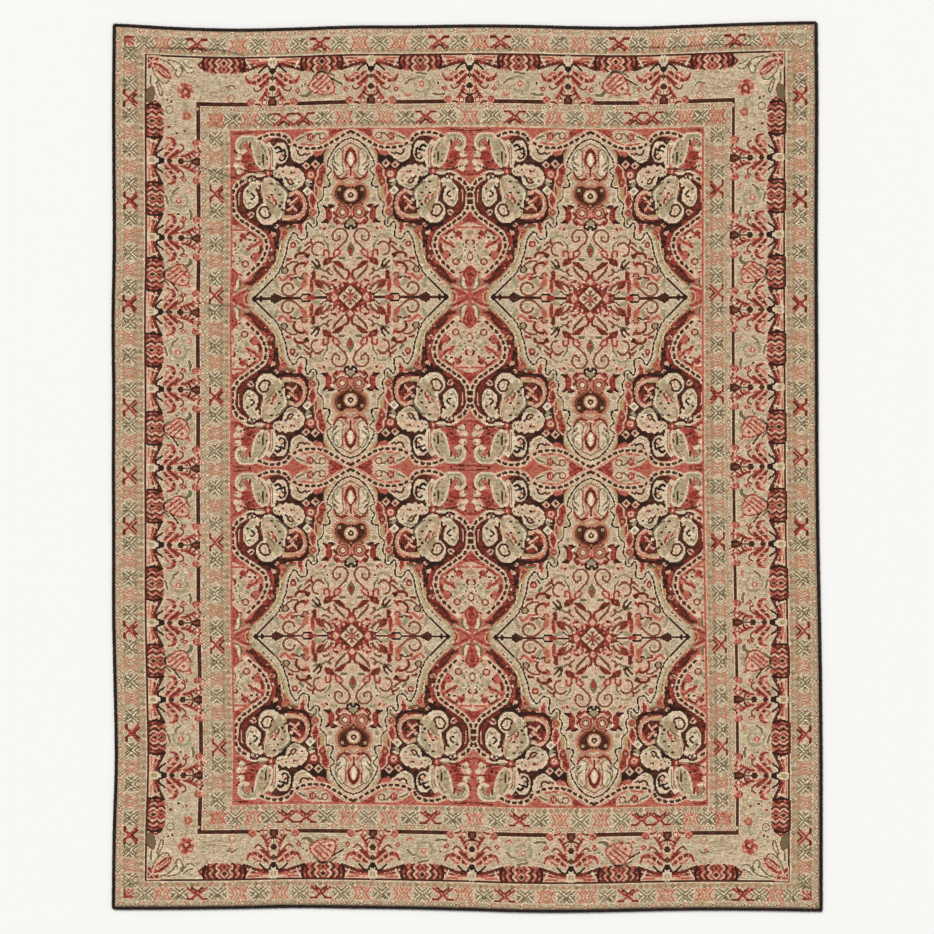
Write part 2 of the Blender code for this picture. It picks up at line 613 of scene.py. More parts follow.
INNER_GUARDS: dict[Side, GuardRow] = {
    Side.HEAD: GuardRow(89.0, (85.0, 169.8, 189.8, 312.4, 401.8, 522.8, 539.8, 622.0),
                        ("SGSG", "", "GSGSG", "GSG", "GSGSG", "", "GSGS")),
    Side.FOOT: GuardRow(89.0, (85.0, 171.4, 190.4, 314.8, 403.4, 525.8, 543.8, 624.0),
                        ("SGSG", "", "GSGSG", "GSG", "GSGSG", "", "GSGS")),
    Side.LEFT: GuardRow(101.5, (72.0, 163.8, 266.0, 367.6, 514.0, 617.0, 720.0, 808.0),
                        ("SGSG", "GSGSG", "GSGSG", "GSGSGSG", "GSGSG", "GSGSG", "GSGS")),
    Side.RIGHT: GuardRow(98.5, (72.0, 162.7, 266.0, 367.6, 514.7, 617.0, 719.0, 808.0),
                         ("SGSG", "GSGSG", "GSGSG", "GSGSGSG", "GSGSG", "GSGSG", "GSGS")),
}

CROSS_STROKES: dict[Yarn, tuple[Stroke, ...]] = {
    RED: (
        ((9.4, 5.8), (5.4, 3), (1.2, -0.4)), ((5.6, 6.4), (0, 2.2)), ((0.6, -0.8), (4.8, -4.4)),
        ((4.4, -5), (9.8, -5)),
    ),
    OLIVE: (
        ((8, 5.6), (0.8, -0.6)), ((4.6, 6.4), (0, 2.4)), ((1, -1), (6, -5.8)), ((0, -2.8), (3, -5.8)),
        ((8, -3), (5, 0.2)), ((8.6, 1.4), (6, -1)),
    ),
    ROSE: (
        ((8.4, 5.4), (4.8, 0), (7.6, -5.4)), ((5.2, 6), (1.6, 0.2), (4.4, -5.6)), ((1.6, 6), (0, 3.4)),
        ((1.4, -5.6), (0, -3.4)),
    ),
}

JOINT_FIGURES: Figures = (
    # The gold knob between its cream posts.
    Patch(((0, 0), (4.6, 0.6), (4, 6.4), (0, 9.6)), CREAM),
    Patch(((0, 1.6), (1.8, 2), (1.8, 6), (0, 7)), GOLD, straight=True),
    Line(((2, 2.6), (2, 5.6)), SAGE, 1),
    # The feathered red palm leaves with their hooked tips, and the brown curl under them.
    Horn(((5, 15.4, 2), (8.4, 17.8, 3.6), (12.6, 21, 4), (17, 23.8, 3.8), (21.6, 24.4, 3.4),
        (25, 22.4, 2.8), (26.8, 18, 1.6)), RED, PINK, 1),
    Line(((10.6, 17.4), (15.4, 16.8), (19.4, 19.4)), ROSE, 1.9),
    Line(((8, 16.4), (13, 21.6), (19, 25), (24, 24)), MAROON, 2),
    Line(((11.6, 16.6), (10.4, 20.6)), PINK, 1.3),
    Line(((16.8, 19.8), (15.4, 24.4)), PINK, 1.3),
    Line(((21.4, 21.6), (21.6, 25.6)), ROSE, 1.4),
    Horn(((3, 18.6, 1.6), (5.4, 22, 4.2), (8.6, 25.4, 4.6), (12.6, 27.6, 2.2)), RED, PINK, 1),
    Line(((4, 20.4), (8, 25), (12, 27.4)), MAROON, 1.5),
    Line(((9.6, 28.6), (13, 32), (16.4, 32.6), (19, 30)), RUST, 2.2),
    Line(((5.6, 27.6), (4.6, 24.8)), ROSE, 1.8),
    # The black wing, the drop under it and the seed.
    Line(((3, 11), (4, 8.6), (6.6, 8.2), (9.6, 10), (13.4, 13.6)), BLACK, 2.2),
    Bead((0, 12.8), 3.2, BLACK),
    Lozenge((0, 20), (2.8, 3.8), BROWN),
    Lozenge((0, 20), (0.8, 1.2), OLIVE),
    Bead((0, 30.2), 3.3, BROWN),
    # The spray that stands on the inner line.
    Line(((5.8, 31), (8, 36.6), (12, 42)), RED, 2.8),
    Line(((7.4, 36), (4.6, 38.6), (2.6, 39)), MAROON, 1.9),
    Line(((6, 33), (3.2, 36)), RED, 1.8),
    Line(((9.6, 39.6), (7, 41.6)), MAROON, 1.6),
    Line(((0, 33.6), (0, 38.6)), OLIVE, 1.6),
    Patch(((4, 43), (9.6, 42.6), (14, 44), (20, 43), (24.6, 44), (25, 48.2), (4, 48.4)), PINK,
        straight=True),
    Patch(((0, 37.4), (2, 39), (4.4, 43), (5, 48), (0, 48)), BROWN, straight=True),
    Line(((0.6, 42), (0.6, 45)), RUST, 1.4),
    Bead((8, 44.6), 1.6, CREAM, RED, 1.3),
    Line(((11, 47.6), (15.6, 45.6), (20, 47)), MAROON, 1.9),
    Bead((21, 44.6), 2.3, ROSE, PINK, 1.4),
    Line(((18, 42.6), (22, 41), (25, 44.6), (23.6, 47.6)), RED, 1.6),
)

# One half of a swag's dark folds, from its middle outward.
SWAG_FOLDS: Figures = (
    Line(((7.6, 0.4), (10.8, 4.2), (7.8, 7.8), (11, 11.2), (8, 14.8)), BROWN, 2.2),
    Line(((4.6, 0.8), (8, 4.2), (5, 7.8), (8.2, 11.2), (5, 14.4)), PINK, 2.1),
    Line(((2, 0.6), (5.4, 4.2), (2.6, 7.8), (5.6, 11.2), (2.4, 14.4)), RED, 1.8),
    Line(((11.4, 1), (14.2, 4.6), (11.4, 8), (14.2, 11.4), (12, 14.4)), ROSE, 2.4),
    Line(((12, 1.6), (14.6, 5), (12, 8.4)), PINK, 1),
    Line(((17.6, 1), (19, 5), (17.6, 9)), RED, 1.8),
    Line(((15, 1.4), (17, 4.8), (15.4, 7.6), (17.4, 11)), BROWN, 1.6),
    Bead((18.2, 3), 1.2, SALMON),
    Bead((14.6, 12.8), 1.2, ROSE),
    Line(((20, 0.6), (21, 6), (19.2, 12.6)), BLACK, 2.4),
)

SWAG_BODY: Figures = (
    Patch(((-21, -0.6), (-22.4, 5), (-22, 11), (-16, 14.2), (0, 14.8), (16, 14.2), (22, 11), (22.4, 5),
        (21, -0.6)), MAROON, straight=True),
)

SWAG_HEART: Figures = (
    Lozenge((0, 4.6), (2.8, 3), BROWN, PINK, 1.4),
    Lozenge((0, 11), (2.2, 2.4), MAROON, SALMON, 1.4),
    Line(((-24, -0.9), (0, -1.2), (24, -0.9)), BROWN, 1.8),
)

# The tip of a swag where no joint follows it.
SWAG_TIP: Figures = (
    Patch(((19, 0.5), (23, 3), (27, 7.6), (19, 13.6)), MAROON, straight=True),
    Line(((19, 4), (23, 7), (19, 10)), PINK, 1.4),
)

LARGE_POSY: Figures = (
    # The slanting flower, one petal beside the other, and the one that opens toward the inner line.
    Patch(((-2.4, 15.4), (-12.6, 26), (-13.6, 31), (-8, 35.6), (2, 38.4), (11.6, 36.6), (13, 31), (9.6, 22),
        (3.6, 15.4)), PINK, RED, 1.5, straight=True),
    Line(((1.6, 18.4), (-9.4, 28.6)), RED, 2),
    Line(((5.6, 21), (-6.2, 31.6)), RED, 1.7),
    Line(((8.6, 24.6), (0, 31), (-5, 35)), RED, 1.6),
    Line(((-9.6, 28.4), (-2, 33), (4, 37.4)), ROSE, 1.6),
    Line(((-6.4, 19.6), (-2, 24.6)), ROSE, 1.4),
    Lozenge((6.4, 31.6), (2.4, 2.2), RED, PINK, 1.6),
    # The calyx toward the swag, the stems and the leaves.
    Line(((-9, 20.6), (-4, 15.4), (2, 14.6), (8, 16.6), (12.6, 19.6)), OLIVE, 2.2),
    Line(((-4.6, 16), (-0.6, 14.6), (3, 16)), BLACK, 1.6),
    Line(((9, 21.6), (15, 25), (20.4, 28)), BROWN, 2),
    Line(((13, 26.6), (20, 31), (24, 30)), SAGE, 1.3),
    Bead((-16.6, 26.6), 1.4, OLIVE),
    Bead((-20, 28.4), 1.3, OLIVE),
    Bead((-23.6, 30.6), 1.2, SAGE),
    Bead((-25, 35), 1.4, ROSE),
    Patch(((-22, 37.6), (-16, 36.6), (-11, 32.6), (-9.6, 35.6), (-13, 39.6), (-19, 40)), OLIVE),
    Line(((-8, 40.6), (-3, 38), (2, 40.6), (6, 37)), SAGE, 1.6),
    Bead((14, 38), 1.5, ROSE),
)

SMALL_POSY: Figures = (
    Line(((-7, 24), (-2, 21), (4, 22)), SAGE, 2.6),
    Line(((8, 25), (10, 30), (7, 34.6)), SAGE, 2.8),
    Line(((-5, 34), (0, 36), (4, 35)), SAGE, 2.4),
    Bead((1.6, 28), 1.4, CREAM, ROSE, 1.4),
    Bead((-4.6, 29.6), 1.3, SAND),
    Line(((-8, 23), (-10.6, 24), (-15, 28)), OLIVE, 2.2),
    Line(((-4, 16.6), (1, 17.4), (6, 18.4)), OLIVE, 2.2),
    Line(((13, 38), (18, 39), (24, 38.6)), OLIVE, 2.6),
    Bead((18, 27.6), 1.3, BROWN),
    Bead((22, 31.6), 1.2, RUST),
    Line(((-16, 38), (-12, 40), (-9.6, 38)), ROSE, 1.4),
)

# The seeds on either side of every posy.
POSY_SEEDS: Figures = (
    Lozenge((-24.5, 33), (1.2, 1.2), CREAM, RED, 1.8),
    Lozenge((24.5, 33), (1.2, 1.2), CREAM, RED, 1.8),
)

CORNER_FIGURES: Figures = (
    # The red block in the corner and the oval bud that grows out of it.
    Patch(((0, 0), (13, 0), (12, 3), (6, 9), (3, 13), (0, 13)), MAROON, PINK, 1, straight=True),
    Line(((1, 8), (8, 1)), PINK, 1.4),
    Line(((3, 10.5), (11, 2.6)), RED, 1.6),
    Line(((2, 3), (5, 6)), PINK, 1.4),
    Horn(((8, 7.6, 3), (12.5, 11.6, 8), (18, 16.4, 8.6), (22.6, 20.2, 4)), RED, PINK, 2),
    Line(((8.6, 11), (13, 16), (19, 21)), MAROON, 1.3),
    Line(((10.6, 10.6), (15.6, 14.8), (20.4, 18.6)), PINK, 4),
    Line(((11.6, 11.6), (16.6, 15.6), (20.6, 19)), ROSE, 1.4),
    Line(((12.6, 9.6), (17.6, 13.6)), MAROON, 1.3),
    # The pale acanthus leaves on either side.
    Patch(((14, 3), (22, 3), (30, 5.6), (37, 9), (45, 10.6), (47, 13.6), (42, 15.6), (36, 13.6), (35, 18.6),
        (30, 20.6), (27.6, 16), (28.6, 11), (21, 7)), CREAM),
    Line(((13, 3), (20, 5), (25.6, 10), (28, 13)), OLIVE, 1.6),
    Line(((20, 2.6), (30, 5), (36, 9.6), (38.6, 13.6), (43, 15.6), (47, 13)), OLIVE, 1.6),
    Line(((36, 5), (41, 9), (46, 10.6)), OLIVE, 1.6),
    Line(((30, 12), (28.6, 17), (31, 20), (34, 17.6), (35.6, 12.6), (33, 9.6)), OLIVE, 1.6),
    Patch(((4, 18), (8, 20), (13, 26), (20, 27.6), (22.6, 23.6), (24, 29), (17, 31), (10, 28), (14, 37),
        (13, 41), (9, 36), (6, 27)), CREAM),
    Line(((5, 11), (7.6, 18), (12.6, 24), (18, 26.6), (21.6, 24), (21.6, 20.6)), OLIVE, 1.6),
    Line(((9.6, 27), (11.6, 34), (13.6, 39), (15.4, 38), (14.6, 31.6), (10.6, 25)), OLIVE, 1.6),
    Line(((3.6, 20), (3.6, 27), (5.6, 32)), OLIVE, 1.6),
    Patch(((0, 34), (6, 31), (7.6, 38), (5, 44.6), (0, 45.6)), OLIVE, RUST, 1.2),
    # The loose flowers and seeds between the corner and the inner line.
    Bloom((38.6, 33.6), 8.4, ROSE, SALMON, petals=6, rim=PINK, turn=15),
    Seeds(((33.6, 30.6), (43.4, 30), (44.6, 36.6), (38.6, 41), (33, 37.4)), PINK, 1.5),
    Seeds(((38.6, 28), (36, 39), (42.4, 38.6)), RED, 1.7),
    Line(((35, 35), (38.6, 31), (42.6, 34.6), (39.6, 37)), MAROON, 1.7),
    Bead((38.8, 34.4), 1.4, PINK),
    Bloom((40, 58.6), 4.4, ROSE, GOLD, petals=5, rim=PINK),
    Line(((37.6, 45), (39.6, 49.6), (38, 54)), SAGE, 2.4),
    Bead((22.6, 52.6), 3, BEIGE, OLIVE, 1.3),
    Bead((20.6, 43), 1.1, BROWN),
    Bead((24.6, 44.6), 1.3, BROWN),
    Bead((22, 70), 1.2, MAROON),
    Bead((30, 76), 1.3, BROWN),
    Bead((38, 73.6), 1.3, MAROON),
    Bead((82.6, 30), 1.8, SALMON),
    Line(((79.6, 28), (86, 27), (89.6, 30.6)), OLIVE, 1.6),
    Bead((84.6, 40), 2.6, BEIGE, SALMON, 1.3),
    Line(((56, 33), (66, 34), (78, 33)), SAND, 1.2),
    Line(((60, 37), (72, 38.6), (80, 36)), SAND, 1.2),
)

# The small arrow in the outer guard's corner, each stroke with its width, and the leaves beside it.
ARROW_STROKES: tuple[tuple[Stroke, float], ...] = (
    (((-22.6, -18.4), (-14.6, -18)), 1.7),
    (((-22.6, -18.4), (-22.4, -11)), 1.7),
    (((-22, -17.6), (-14.6, -11)), 1.8),
    (((-18.4, -17.2), (-13.6, -14.6)), 1.4),
    (((-21.4, -14.6), (-18, -10)), 1.4),
)

ARROW_LEAVES: Figures = (
    Line(((-12, -19), (-6, -13.6), (-1, -10)), SAGE, 1.3),
    Line(((-23, -9), (-17, -4.6), (-14, -8)), OLIVE, 1.4),
    Line(((-23, -3), (-18, 0.6), (-13, -4)), SAGE, 1.4),
)


def swag_tie(near: float, far: float) -> Figures:
    """Return the striped ribbon that ties a swag to a joint.

    Args:
        near: How far from the swag's middle the ribbon begins.
        far: How far from it the ribbon meets the joint.

    Returns:
        The ribbon's figures, laid along a pen's first axis.
    """
    half = (near + far) / 2
    return (
        Patch(((near, 0), (far, 0), (far, 6.4), (near, 15)), PINK, straight=True),
        Line(((near, 12.6), (half, 8.6), (far, 5.6)), MAROON, 3.4),
        Line(((near, 13.6), (half, 9.4)), BROWN, 2),
        Line(((near, 6.6), (half + 3, 4.6), (far, 3.6)), ROSE, 2.2),
        Line(((near, 7.6), (half, 5.4)), MAROON, 1.5),
        Line(((near, 2), (half + 4, 1.8)), ROSE, 1.6),
        Line(((near + 2.4, 1), (near + 5.6, 5), (near + 7.6, 9)), CREAM, 1.8),
    )


@dataclass
class BorderPattern:
    """The borders: a guard of crosses, the main border of festoons and palmettes, and a second guard.

    Scales are of a figure's two axes, along a side and inward. The long sides' figures stand closer.
    """

    chart: Chart
    side_joints: tuple[float, ...] = (132.0, 209.0, 283.5, 361.0, 440.0, 517.0, 595.0, 672.0, 748.0)
    end_joints: tuple[float, ...] = (158.5, 257.5, 356.5, 455.5, 551.5)
    side_posies: tuple[bool, ...] = (False, True, False, True, True, False, True, False)
    end_posies: tuple[bool, ...] = (True, False, False, True)
    figure_depth: float = 44.0
    tie_start: float = 19.0
    joint_reach: float = 5.5
    loose_half_pitch: float = 49.0
    side_swag_scale: float = 0.8
    side_joint_scale: float = 0.88
    side_cross_scale: Point = (0.84, 1.08)
    cross_width: float = 1.5
    red_cross_width: float = 2.3
    lattice_pitch: float = 6.4
    lattice_insets: tuple[Point, ...] = ((3.0, 3.6), (7.4, 7.8))

    def draw(self) -> None:
        """Draw every band on the plan, from the edge to the field."""
        self.lay_grounds()
        for side in Side:
            bands = BANDS[side]
            self.draw_guard(side, OUTER_GUARDS[side], 0.0, bands.guard)
            self.draw_guard(side, INNER_GUARDS[side], bands.inner_line, bands.inner_guard)
        for side in Side:
            self.draw_main_border(side)
        self.draw_corners()

    def lay_grounds(self) -> None:
        """Fill everything inside each band's end in turn, from the outermost band to the field."""
        grounds = {"guard": BROWN, "outer_line": BEIGE, "main": BROWN, "inner_line": BEIGE,
                   "inner_guard": ROSE, "field": ROSE}
        for band, yarn in grounds.items():
            left, right, head, foot = [getattr(BANDS[side], band) for side in Side]
            rows = slice(round(head), round(self.chart.rows - foot))
            columns = slice(round(left), round(self.chart.columns - right))
            self.chart.knots[rows, columns] = int(yarn)

    def pen_at(self, side: Side, place: float, depth: float, scale: Point = (1.0, 1.0)) -> Pen:
        """Return a pen whose first axis runs along a side and whose second runs inward.

        Args:
            side: The side of the rug.
            place: Where the pen's origin lies along the side.
            depth: How far in it lies.
            scale: How far one unit of each axis reaches, in knots.

        Returns:
            The pen.
        """
        origin = {
            Side.LEFT: (depth, place),
            Side.RIGHT: (self.chart.columns - depth, place),
            Side.HEAD: (place, depth),
            Side.FOOT: (place, self.chart.rows - depth),
        }[side]
        along = (side.along[0] * scale[0], side.along[1] * scale[0])
        return Pen(self.chart, origin, along, (side.inward[0] * scale[1], side.inward[1] * scale[1]))

    def draw_cross(self, side: Side, place: float, depth: float, yarn: Yarn) -> None:
        """Draw one cross of a guard, with doubled arms inward and flat feet outward.

        Args:
            side: The side of the rug.
            place: Where the cross stands along the side.
            depth: How far in it stands.
            yarn: The cross's own yarn.
        """
        tones = (yarn, yarn)
        if yarn == ROSE:
            tones = (SALMON if side.upright else ROSE, SALMON)
        elif yarn == RED:
            tones = (RED, MAROON)
        width = self.red_cross_width if yarn == RED else self.cross_width
        pen = self.pen_at(side, place, depth, self.side_cross_scale if side.upright else (1.0, 1.0))
        lines = []
        for number, stroke in enumerate(CROSS_STROKES[yarn]):
            lines.append(Line(stroke, tones[number % 2], width))
        draw_all(lines, pen, pen.mirrored())

    def draw_guard(self, side: Side, row: GuardRow, start: float, end: float) -> None:
        """Draw a guard's crosses and the small muted lattice along its edges, denser on the long sides.

        Args:
            side: The side of the rug.
            row: The order and the places of the crosses.
            start: The depth at which the guard begins.
            end: The depth at which it ends.
        """
        depths = [depth for outer, inner in self.lattice_insets for depth in (start + outer, end - inner)]
        for phase, depth in enumerate(depths if side.upright else depths[:2]):
            self.draw_lattice(side, depth, phase)
        for place, yarn in row.crosses():
            self.draw_cross(side, place, row.depth, yarn)

    def draw_lattice(self, side: Side, depth: float, phase: int) -> None:
        """Draw a row of small muted diamonds with seeds between them.

        Args:
            side: The side of the rug.
            depth: The depth of the row.
            phase: The number of the row, from which its tones follow.
        """
        tones = (SAND, SALMON, SAND, OLIVE, SALMON) if phase < 2 else (SAND,)
        middle = (self.chart.rows if side.upright else self.chart.columns) / 2
        count = int((middle - depth) / self.lattice_pitch)
        for index in range(-count, count + 1):
            tone = tones[(index + phase) % len(tones)]
            pen = self.pen_at(side, middle + index * self.lattice_pitch, depth)
            Lozenge((0, 0), (1.6, 1.4), SAND if phase % 2 else CREAM, tone, 1.3).draw(pen)
            Seeds(((3.2, -1.8), (3.2, 1.8)), CREAM if tone == OLIVE else SAND, 0.8).draw(pen)

    def draw_main_border(self, side: Side) -> None:
        """Draw the festoons, the flowers between them and the joints of the main border.

        Args:
            side: The side of the rug.
        """
        joints = self.side_joints if side.upright else self.end_joints
        posies = self.side_posies if side.upright else self.end_posies
        line = BANDS[side].outer_line
        deep = (BANDS[side].main - line) / self.figure_depth
        scale = (self.side_swag_scale if side.upright else 1.0, deep)
        for start, end, large in zip(joints, joints[1:], posies):
            pen = self.pen_at(side, (start + end) / 2, line, scale)
            self.draw_festoon(pen, (end - start) / 2 / scale[0], (True, True))
            draw_all(LARGE_POSY if large else SMALL_POSY, pen)
            draw_all(POSY_SEEDS, pen)
        for joint, way, tied in ((joints[0], -1.0, (False, True)), (joints[-1], 1.0, (True, False))):
            pen = self.pen_at(side, joint + way * self.loose_half_pitch * scale[0], line, scale)
            self.draw_festoon(pen, self.loose_half_pitch, tied)
        for joint in joints:
            pen = self.pen_at(side, joint, line, (self.side_joint_scale if side.upright else 1.0, deep))
            draw_all(JOINT_FIGURES, pen, pen.mirrored())

    def draw_festoon(self, pen: Pen, half_pitch: float, tied: tuple[bool, bool]) -> None:
        """Draw one dark swag, and the striped ribbons that tie it to the joints.

        Args:
            pen: A pen at the swag's middle on the outer line.
            half_pitch: How far the joints are on either side.
            tied: Whether a joint lies before the swag, and one after it.
        """
        tie = swag_tie(self.tie_start, half_pitch - self.joint_reach)
        for half, joined in zip((pen.mirrored(), pen), tied):
            draw_all(tie if joined else SWAG_TIP, half)
        draw_all(SWAG_BODY, pen)
        draw_all(SWAG_FOLDS, pen.mirrored(), pen)
        draw_all(SWAG_HEART, pen)

    def draw_corners(self) -> None:
        """Draw the main border's corner and the small arrow in the outer guard's corner, four times."""
        for down in (Side.HEAD, Side.FOOT):
            for across in (Side.LEFT, Side.RIGHT):
                column, row = BANDS[across].outer_line, BANDS[down].outer_line
                origin = (
                    column if across is Side.LEFT else self.chart.columns - column,
                    row if down is Side.HEAD else self.chart.rows - row,
                )
                pen = Pen(self.chart, origin, across.inward, down.inward)
                yarn = SAGE if (across, down) == (Side.RIGHT, Side.HEAD) else RED
                draw_all(CORNER_FIGURES, pen)
                draw_all([Line(stroke, yarn, width) for stroke, width in ARROW_STROKES], pen)
                draw_all(ARROW_LEAVES, pen)


@dataclass
class FieldPattern:
    """The field: one quarter of a medallion's cell, mirrored into four medallions and cut by the borders.

    Each fold is a place on the plan and the quarter's knot that it takes.
    """

    chart: Chart
    quarter_columns: int = 120
    quarter_rows: int = 170
    folds_across: Stroke = ((117.5, 1.0), (236.7, 120.0), (357.0, 0.0), (478.0, 120.0), (591.0, 6.0))
    folds_down: Stroke = ((101.0, 2.0), (269.5, 170.0), (440.0, 2.5), (609.0, 170.0), (777.0, 2.0))

    def draw(self) -> None:
        """Draw the quarter and set it mirrored into every cell of the field."""
        quarter = Chart(self.quarter_columns, self.quarter_rows, ROSE)
        draw_all(QUARTER_FIGURES, Pen(quarter))
        left, right, head, foot = [round(BANDS[side].field) for side in Side]
        right, foot = self.chart.columns - right, self.chart.rows - foot
        across = self.folded(left, right, self.folds_across, self.quarter_columns)
        down = self.folded(head, foot, self.folds_down, self.quarter_rows)
        self.chart.knots[head:foot, left:right] = quarter.knots[np.ix_(down, across)]

    def folded(self, first: int, last: int, folds: Stroke, size: int) -> np.ndarray:
        """Fold the knots along the field into one quarter.

        Args:
            first: The field's first knot on the plan.
            last: The knot after its last one.
            folds: The folds along that way, in order.
            size: How many knots the quarter has that way.

        Returns:
            The quarter's knot for each knot of the field.
        """
        places, knots = zip(*folds)
        found = np.interp(np.arange(first, last) + HALF_KNOT, places, knots)
        return np.clip(found.astype(int), 0, size - 1)


MEDALLION_EDGE: Stroke = (
    (121, 10.5), (112, 14), (105, 20), (101, 26), (98, 31), (96.5, 36), (96.5, 39), (99.5, 40.5),
    (100.5, 44), (98, 46.5), (96.5, 50), (98.5, 54), (99, 58), (95.5, 60), (92.5, 60.5), (92.5, 68),
    (90, 73), (86.5, 76), (87, 80), (88, 86), (85.5, 91), (86, 97), (82.5, 100), (79.5, 97.5),
    (76.5, 95), (75, 100), (76, 105), (75.5, 110), (70.5, 112), (67, 109.5), (65.5, 106), (62, 105),
    (60, 108.5), (58, 112), (56.5, 117), (55.5, 123), (54.5, 128), (52.5, 132), (51.5, 137),
    (49.5, 140), (48, 144), (45, 148), (40, 153), (33, 160), (27, 166), (22, 171),
)

GROUNDS: Figures = (
    # The red ground with its dark line and blot.
    Line(((0, 4.4), (10, 4), (20, 3)), MAROON, 1.4),
    Patch(((100, 5), (106, 1.5), (112, 3.4), (109, 7), (103, 9), (99, 7)), RED, MAROON, 1),
    # The dark ground between the paisleys, redder toward the medallion's side tip.
    Patch(((34, 10), (46, 9), (54, 11), (62, 15), (64, 28), (84, 24), (94, 21), (97, 36), (88, 50),
        (86, 60), (80, 70), (80, 88), (74, 98), (60, 98), (48, 99), (50, 116), (49, 130), (42, 140),
        (34, 146), (20, 160), (16, 158), (30, 140), (36, 126), (34, 108), (26, 100), (14, 92), (6, 84),
        (4, 62), (12, 54), (30, 46), (40, 40), (43, 30), (37, 18)), BROWN, straight=True),
    Patch(((32, 10), (44, 9), (52, 10.5), (44, 12.5), (40, 16), (36, 16)), ROSE),
    Patch(((33, 98), (44, 99), (49, 112), (46, 132), (38, 142), (26, 151), (36, 130), (37, 112)), MAROON),
    Line(((42, 100), (46, 106), (46.6, 114), (44, 126), (37, 139)), BROWN, 2.4),
)

MEDALLION_GROUND: Figures = (
    Line(MEDALLION_EDGE, PINK, 19),
    Line(MEDALLION_EDGE, RED, 16.6),
    Line(MEDALLION_EDGE, SALMON, 12.6),
    Line(MEDALLION_EDGE, GOLD, 10.4),
    Patch(((57, 112), (49, 112.6), (46.4, 121), (44.8, 129), (41.6, 137), (35, 146), (27, 154.6),
        (17, 164.6), (22, 171), (40, 153), (49.5, 140), (55.5, 123)), BEIGE, GOLD, 1.6, straight=True),
    Line(((51.4, 115), (49.4, 124), (47, 132.6), (43.6, 139.4), (37, 147.6), (29.6, 155)), BROWN, 1.4, 2.6,
        2.6),
    Line(MEDALLION_EDGE, BEIGE, 7.4),
    Patch((*MEDALLION_EDGE, (121, 171)), BEIGE, straight=True),
    Patch(((64, 176), (66, 148), (76, 124), (92, 100), (106, 84), (126, 80), (126, 176)), BLUSH),
    Line(MEDALLION_EDGE, CREAM, 4),
    Line(MEDALLION_EDGE, BLACK, 1.5),
    Line(((121, 13), (114, 16.6), (108, 22), (104.6, 28), (102, 34)), PINK, 1.8),
    Line(((121, 15.4), (115.6, 18), (110, 22.6), (106.6, 27)), OLIVE, 1.4),
)

CORNER_PAISLEY: Figures = (
    # The drop-shaped paisley with its hooked tip, its rim and the pale band behind it.
    Line(((37.6, 15.6), (42, 22), (42.6, 30), (42, 39)), CREAM, 4.6),
    Line(((40, 18), (41.6, 25), (41.4, 37)), OLIVE, 1.3),
    Patch(((8, 7.4), (14, 5.8), (22, 6.2), (28.4, 9), (33.4, 13.6), (36.6, 19), (38.6, 26), (39.2, 33),
        (37.4, 39), (32.4, 41), (27.4, 38.4), (23.6, 32.6), (21.8, 26), (20.4, 19.6), (17.6, 14.6),
        (13, 13.6), (10.4, 17), (11, 20.4), (14, 20), (15.6, 22.4), (11.4, 24.6), (6.4, 22.8), (4, 18),
        (4.6, 12)), CREAM),
    Patch(((10, 8.6), (16, 7.6), (23, 8.6), (29, 12.6), (33.6, 18.6), (36.4, 26), (36.6, 34), (34, 38.4),
        (30, 37.4), (25.6, 32), (23.6, 25), (22, 18), (18, 12.4), (11, 11.6), (8, 15), (7.4, 20), (6, 16)),
        MOSS),
    Line(((11, 9.8), (17, 8.8), (23, 10.8)), SAGE, 1.8),
    Line(((9.4, 20.8), (8.8, 17.4), (11.2, 13.6), (15, 12)), OLIVE, 1.5),
    Line(((19, 14), (19.4, 18.6)), BROWN, 1.8),
    Bead((12.4, 18.6), 1.8, SAGE),
    Bead((15.4, 13.8), 1.3, ROSE),
    Line(((26.4, 11), (28.4, 13)), BROWN, 1.9),
    Line(((30.6, 16.6), (32.4, 18.8)), OLIVE, 1.7),
    Line(((33.2, 21), (34.6, 22.8)), OLIVE, 1.6),
    Line(((31.8, 25.4), (32, 31), (32.6, 36)), BROWN, 1.7),
    Line(((35.4, 28), (36, 30.6)), BROWN, 1.5),
    Seeds(((27.4, 28), (28.2, 34.4)), OLIVE, 1.5),
    Seeds(((27, 19), (35.4, 35)), SALMON, 1.3),
    Line(((25, 22.4), (29, 21.6)), SAND, 1.8),
    # The cream flowers on the axis, on a red ground with dark lines.
    Patch(((10, 25.6), (14, 24.6), (19.6, 26), (21, 30.5), (18, 33.6), (12, 32.6)), RED),
    Line(((3, 21), (5.6, 23.6), (7.6, 26)), MAROON, 1.8),
    Bead((7, 28), 2.9, CREAM, PINK, 0.9),
    Bead((5.2, 26.8), 1.2, OLIVE),
    Line(((5, 31.6), (11, 31.8), (17, 34.4)), MAROON, 1.6),
    Seeds(((8.6, 35.6), (12, 38), (11.6, 42.6)), PINK, 2.3),
    Seeds(((6.8, 38.2), (7.6, 42.6), (4.4, 35.6)), CREAM, 2.4),
    Bead((7.4, 39.2), 1.4, SAGE),
    Seeds(((10.2, 40.4), (5.2, 45)), BROWN, 1.1),
    Patch(((13, 36), (19, 33.6), (23, 37), (26.5, 41.4), (18, 41.6), (14.6, 39.6)), RED, ROSE, 1),
    Seeds(((18.6, 36), (22.6, 34.6)), BROWN, 1.3),
    Line(((13, 41.4), (20, 43), (27, 43.6), (34, 41.4)), BROWN, 2.2),
    Line(((25, 44.4), (31, 43.4)), SAGE, 1.6),
    Line(((0, 48.4), (7, 47.4), (14, 43.5)), RED, 2.6),
    Line(((0, 51.5), (8, 50.5), (12, 47.5)), SALMON, 2.2),
)

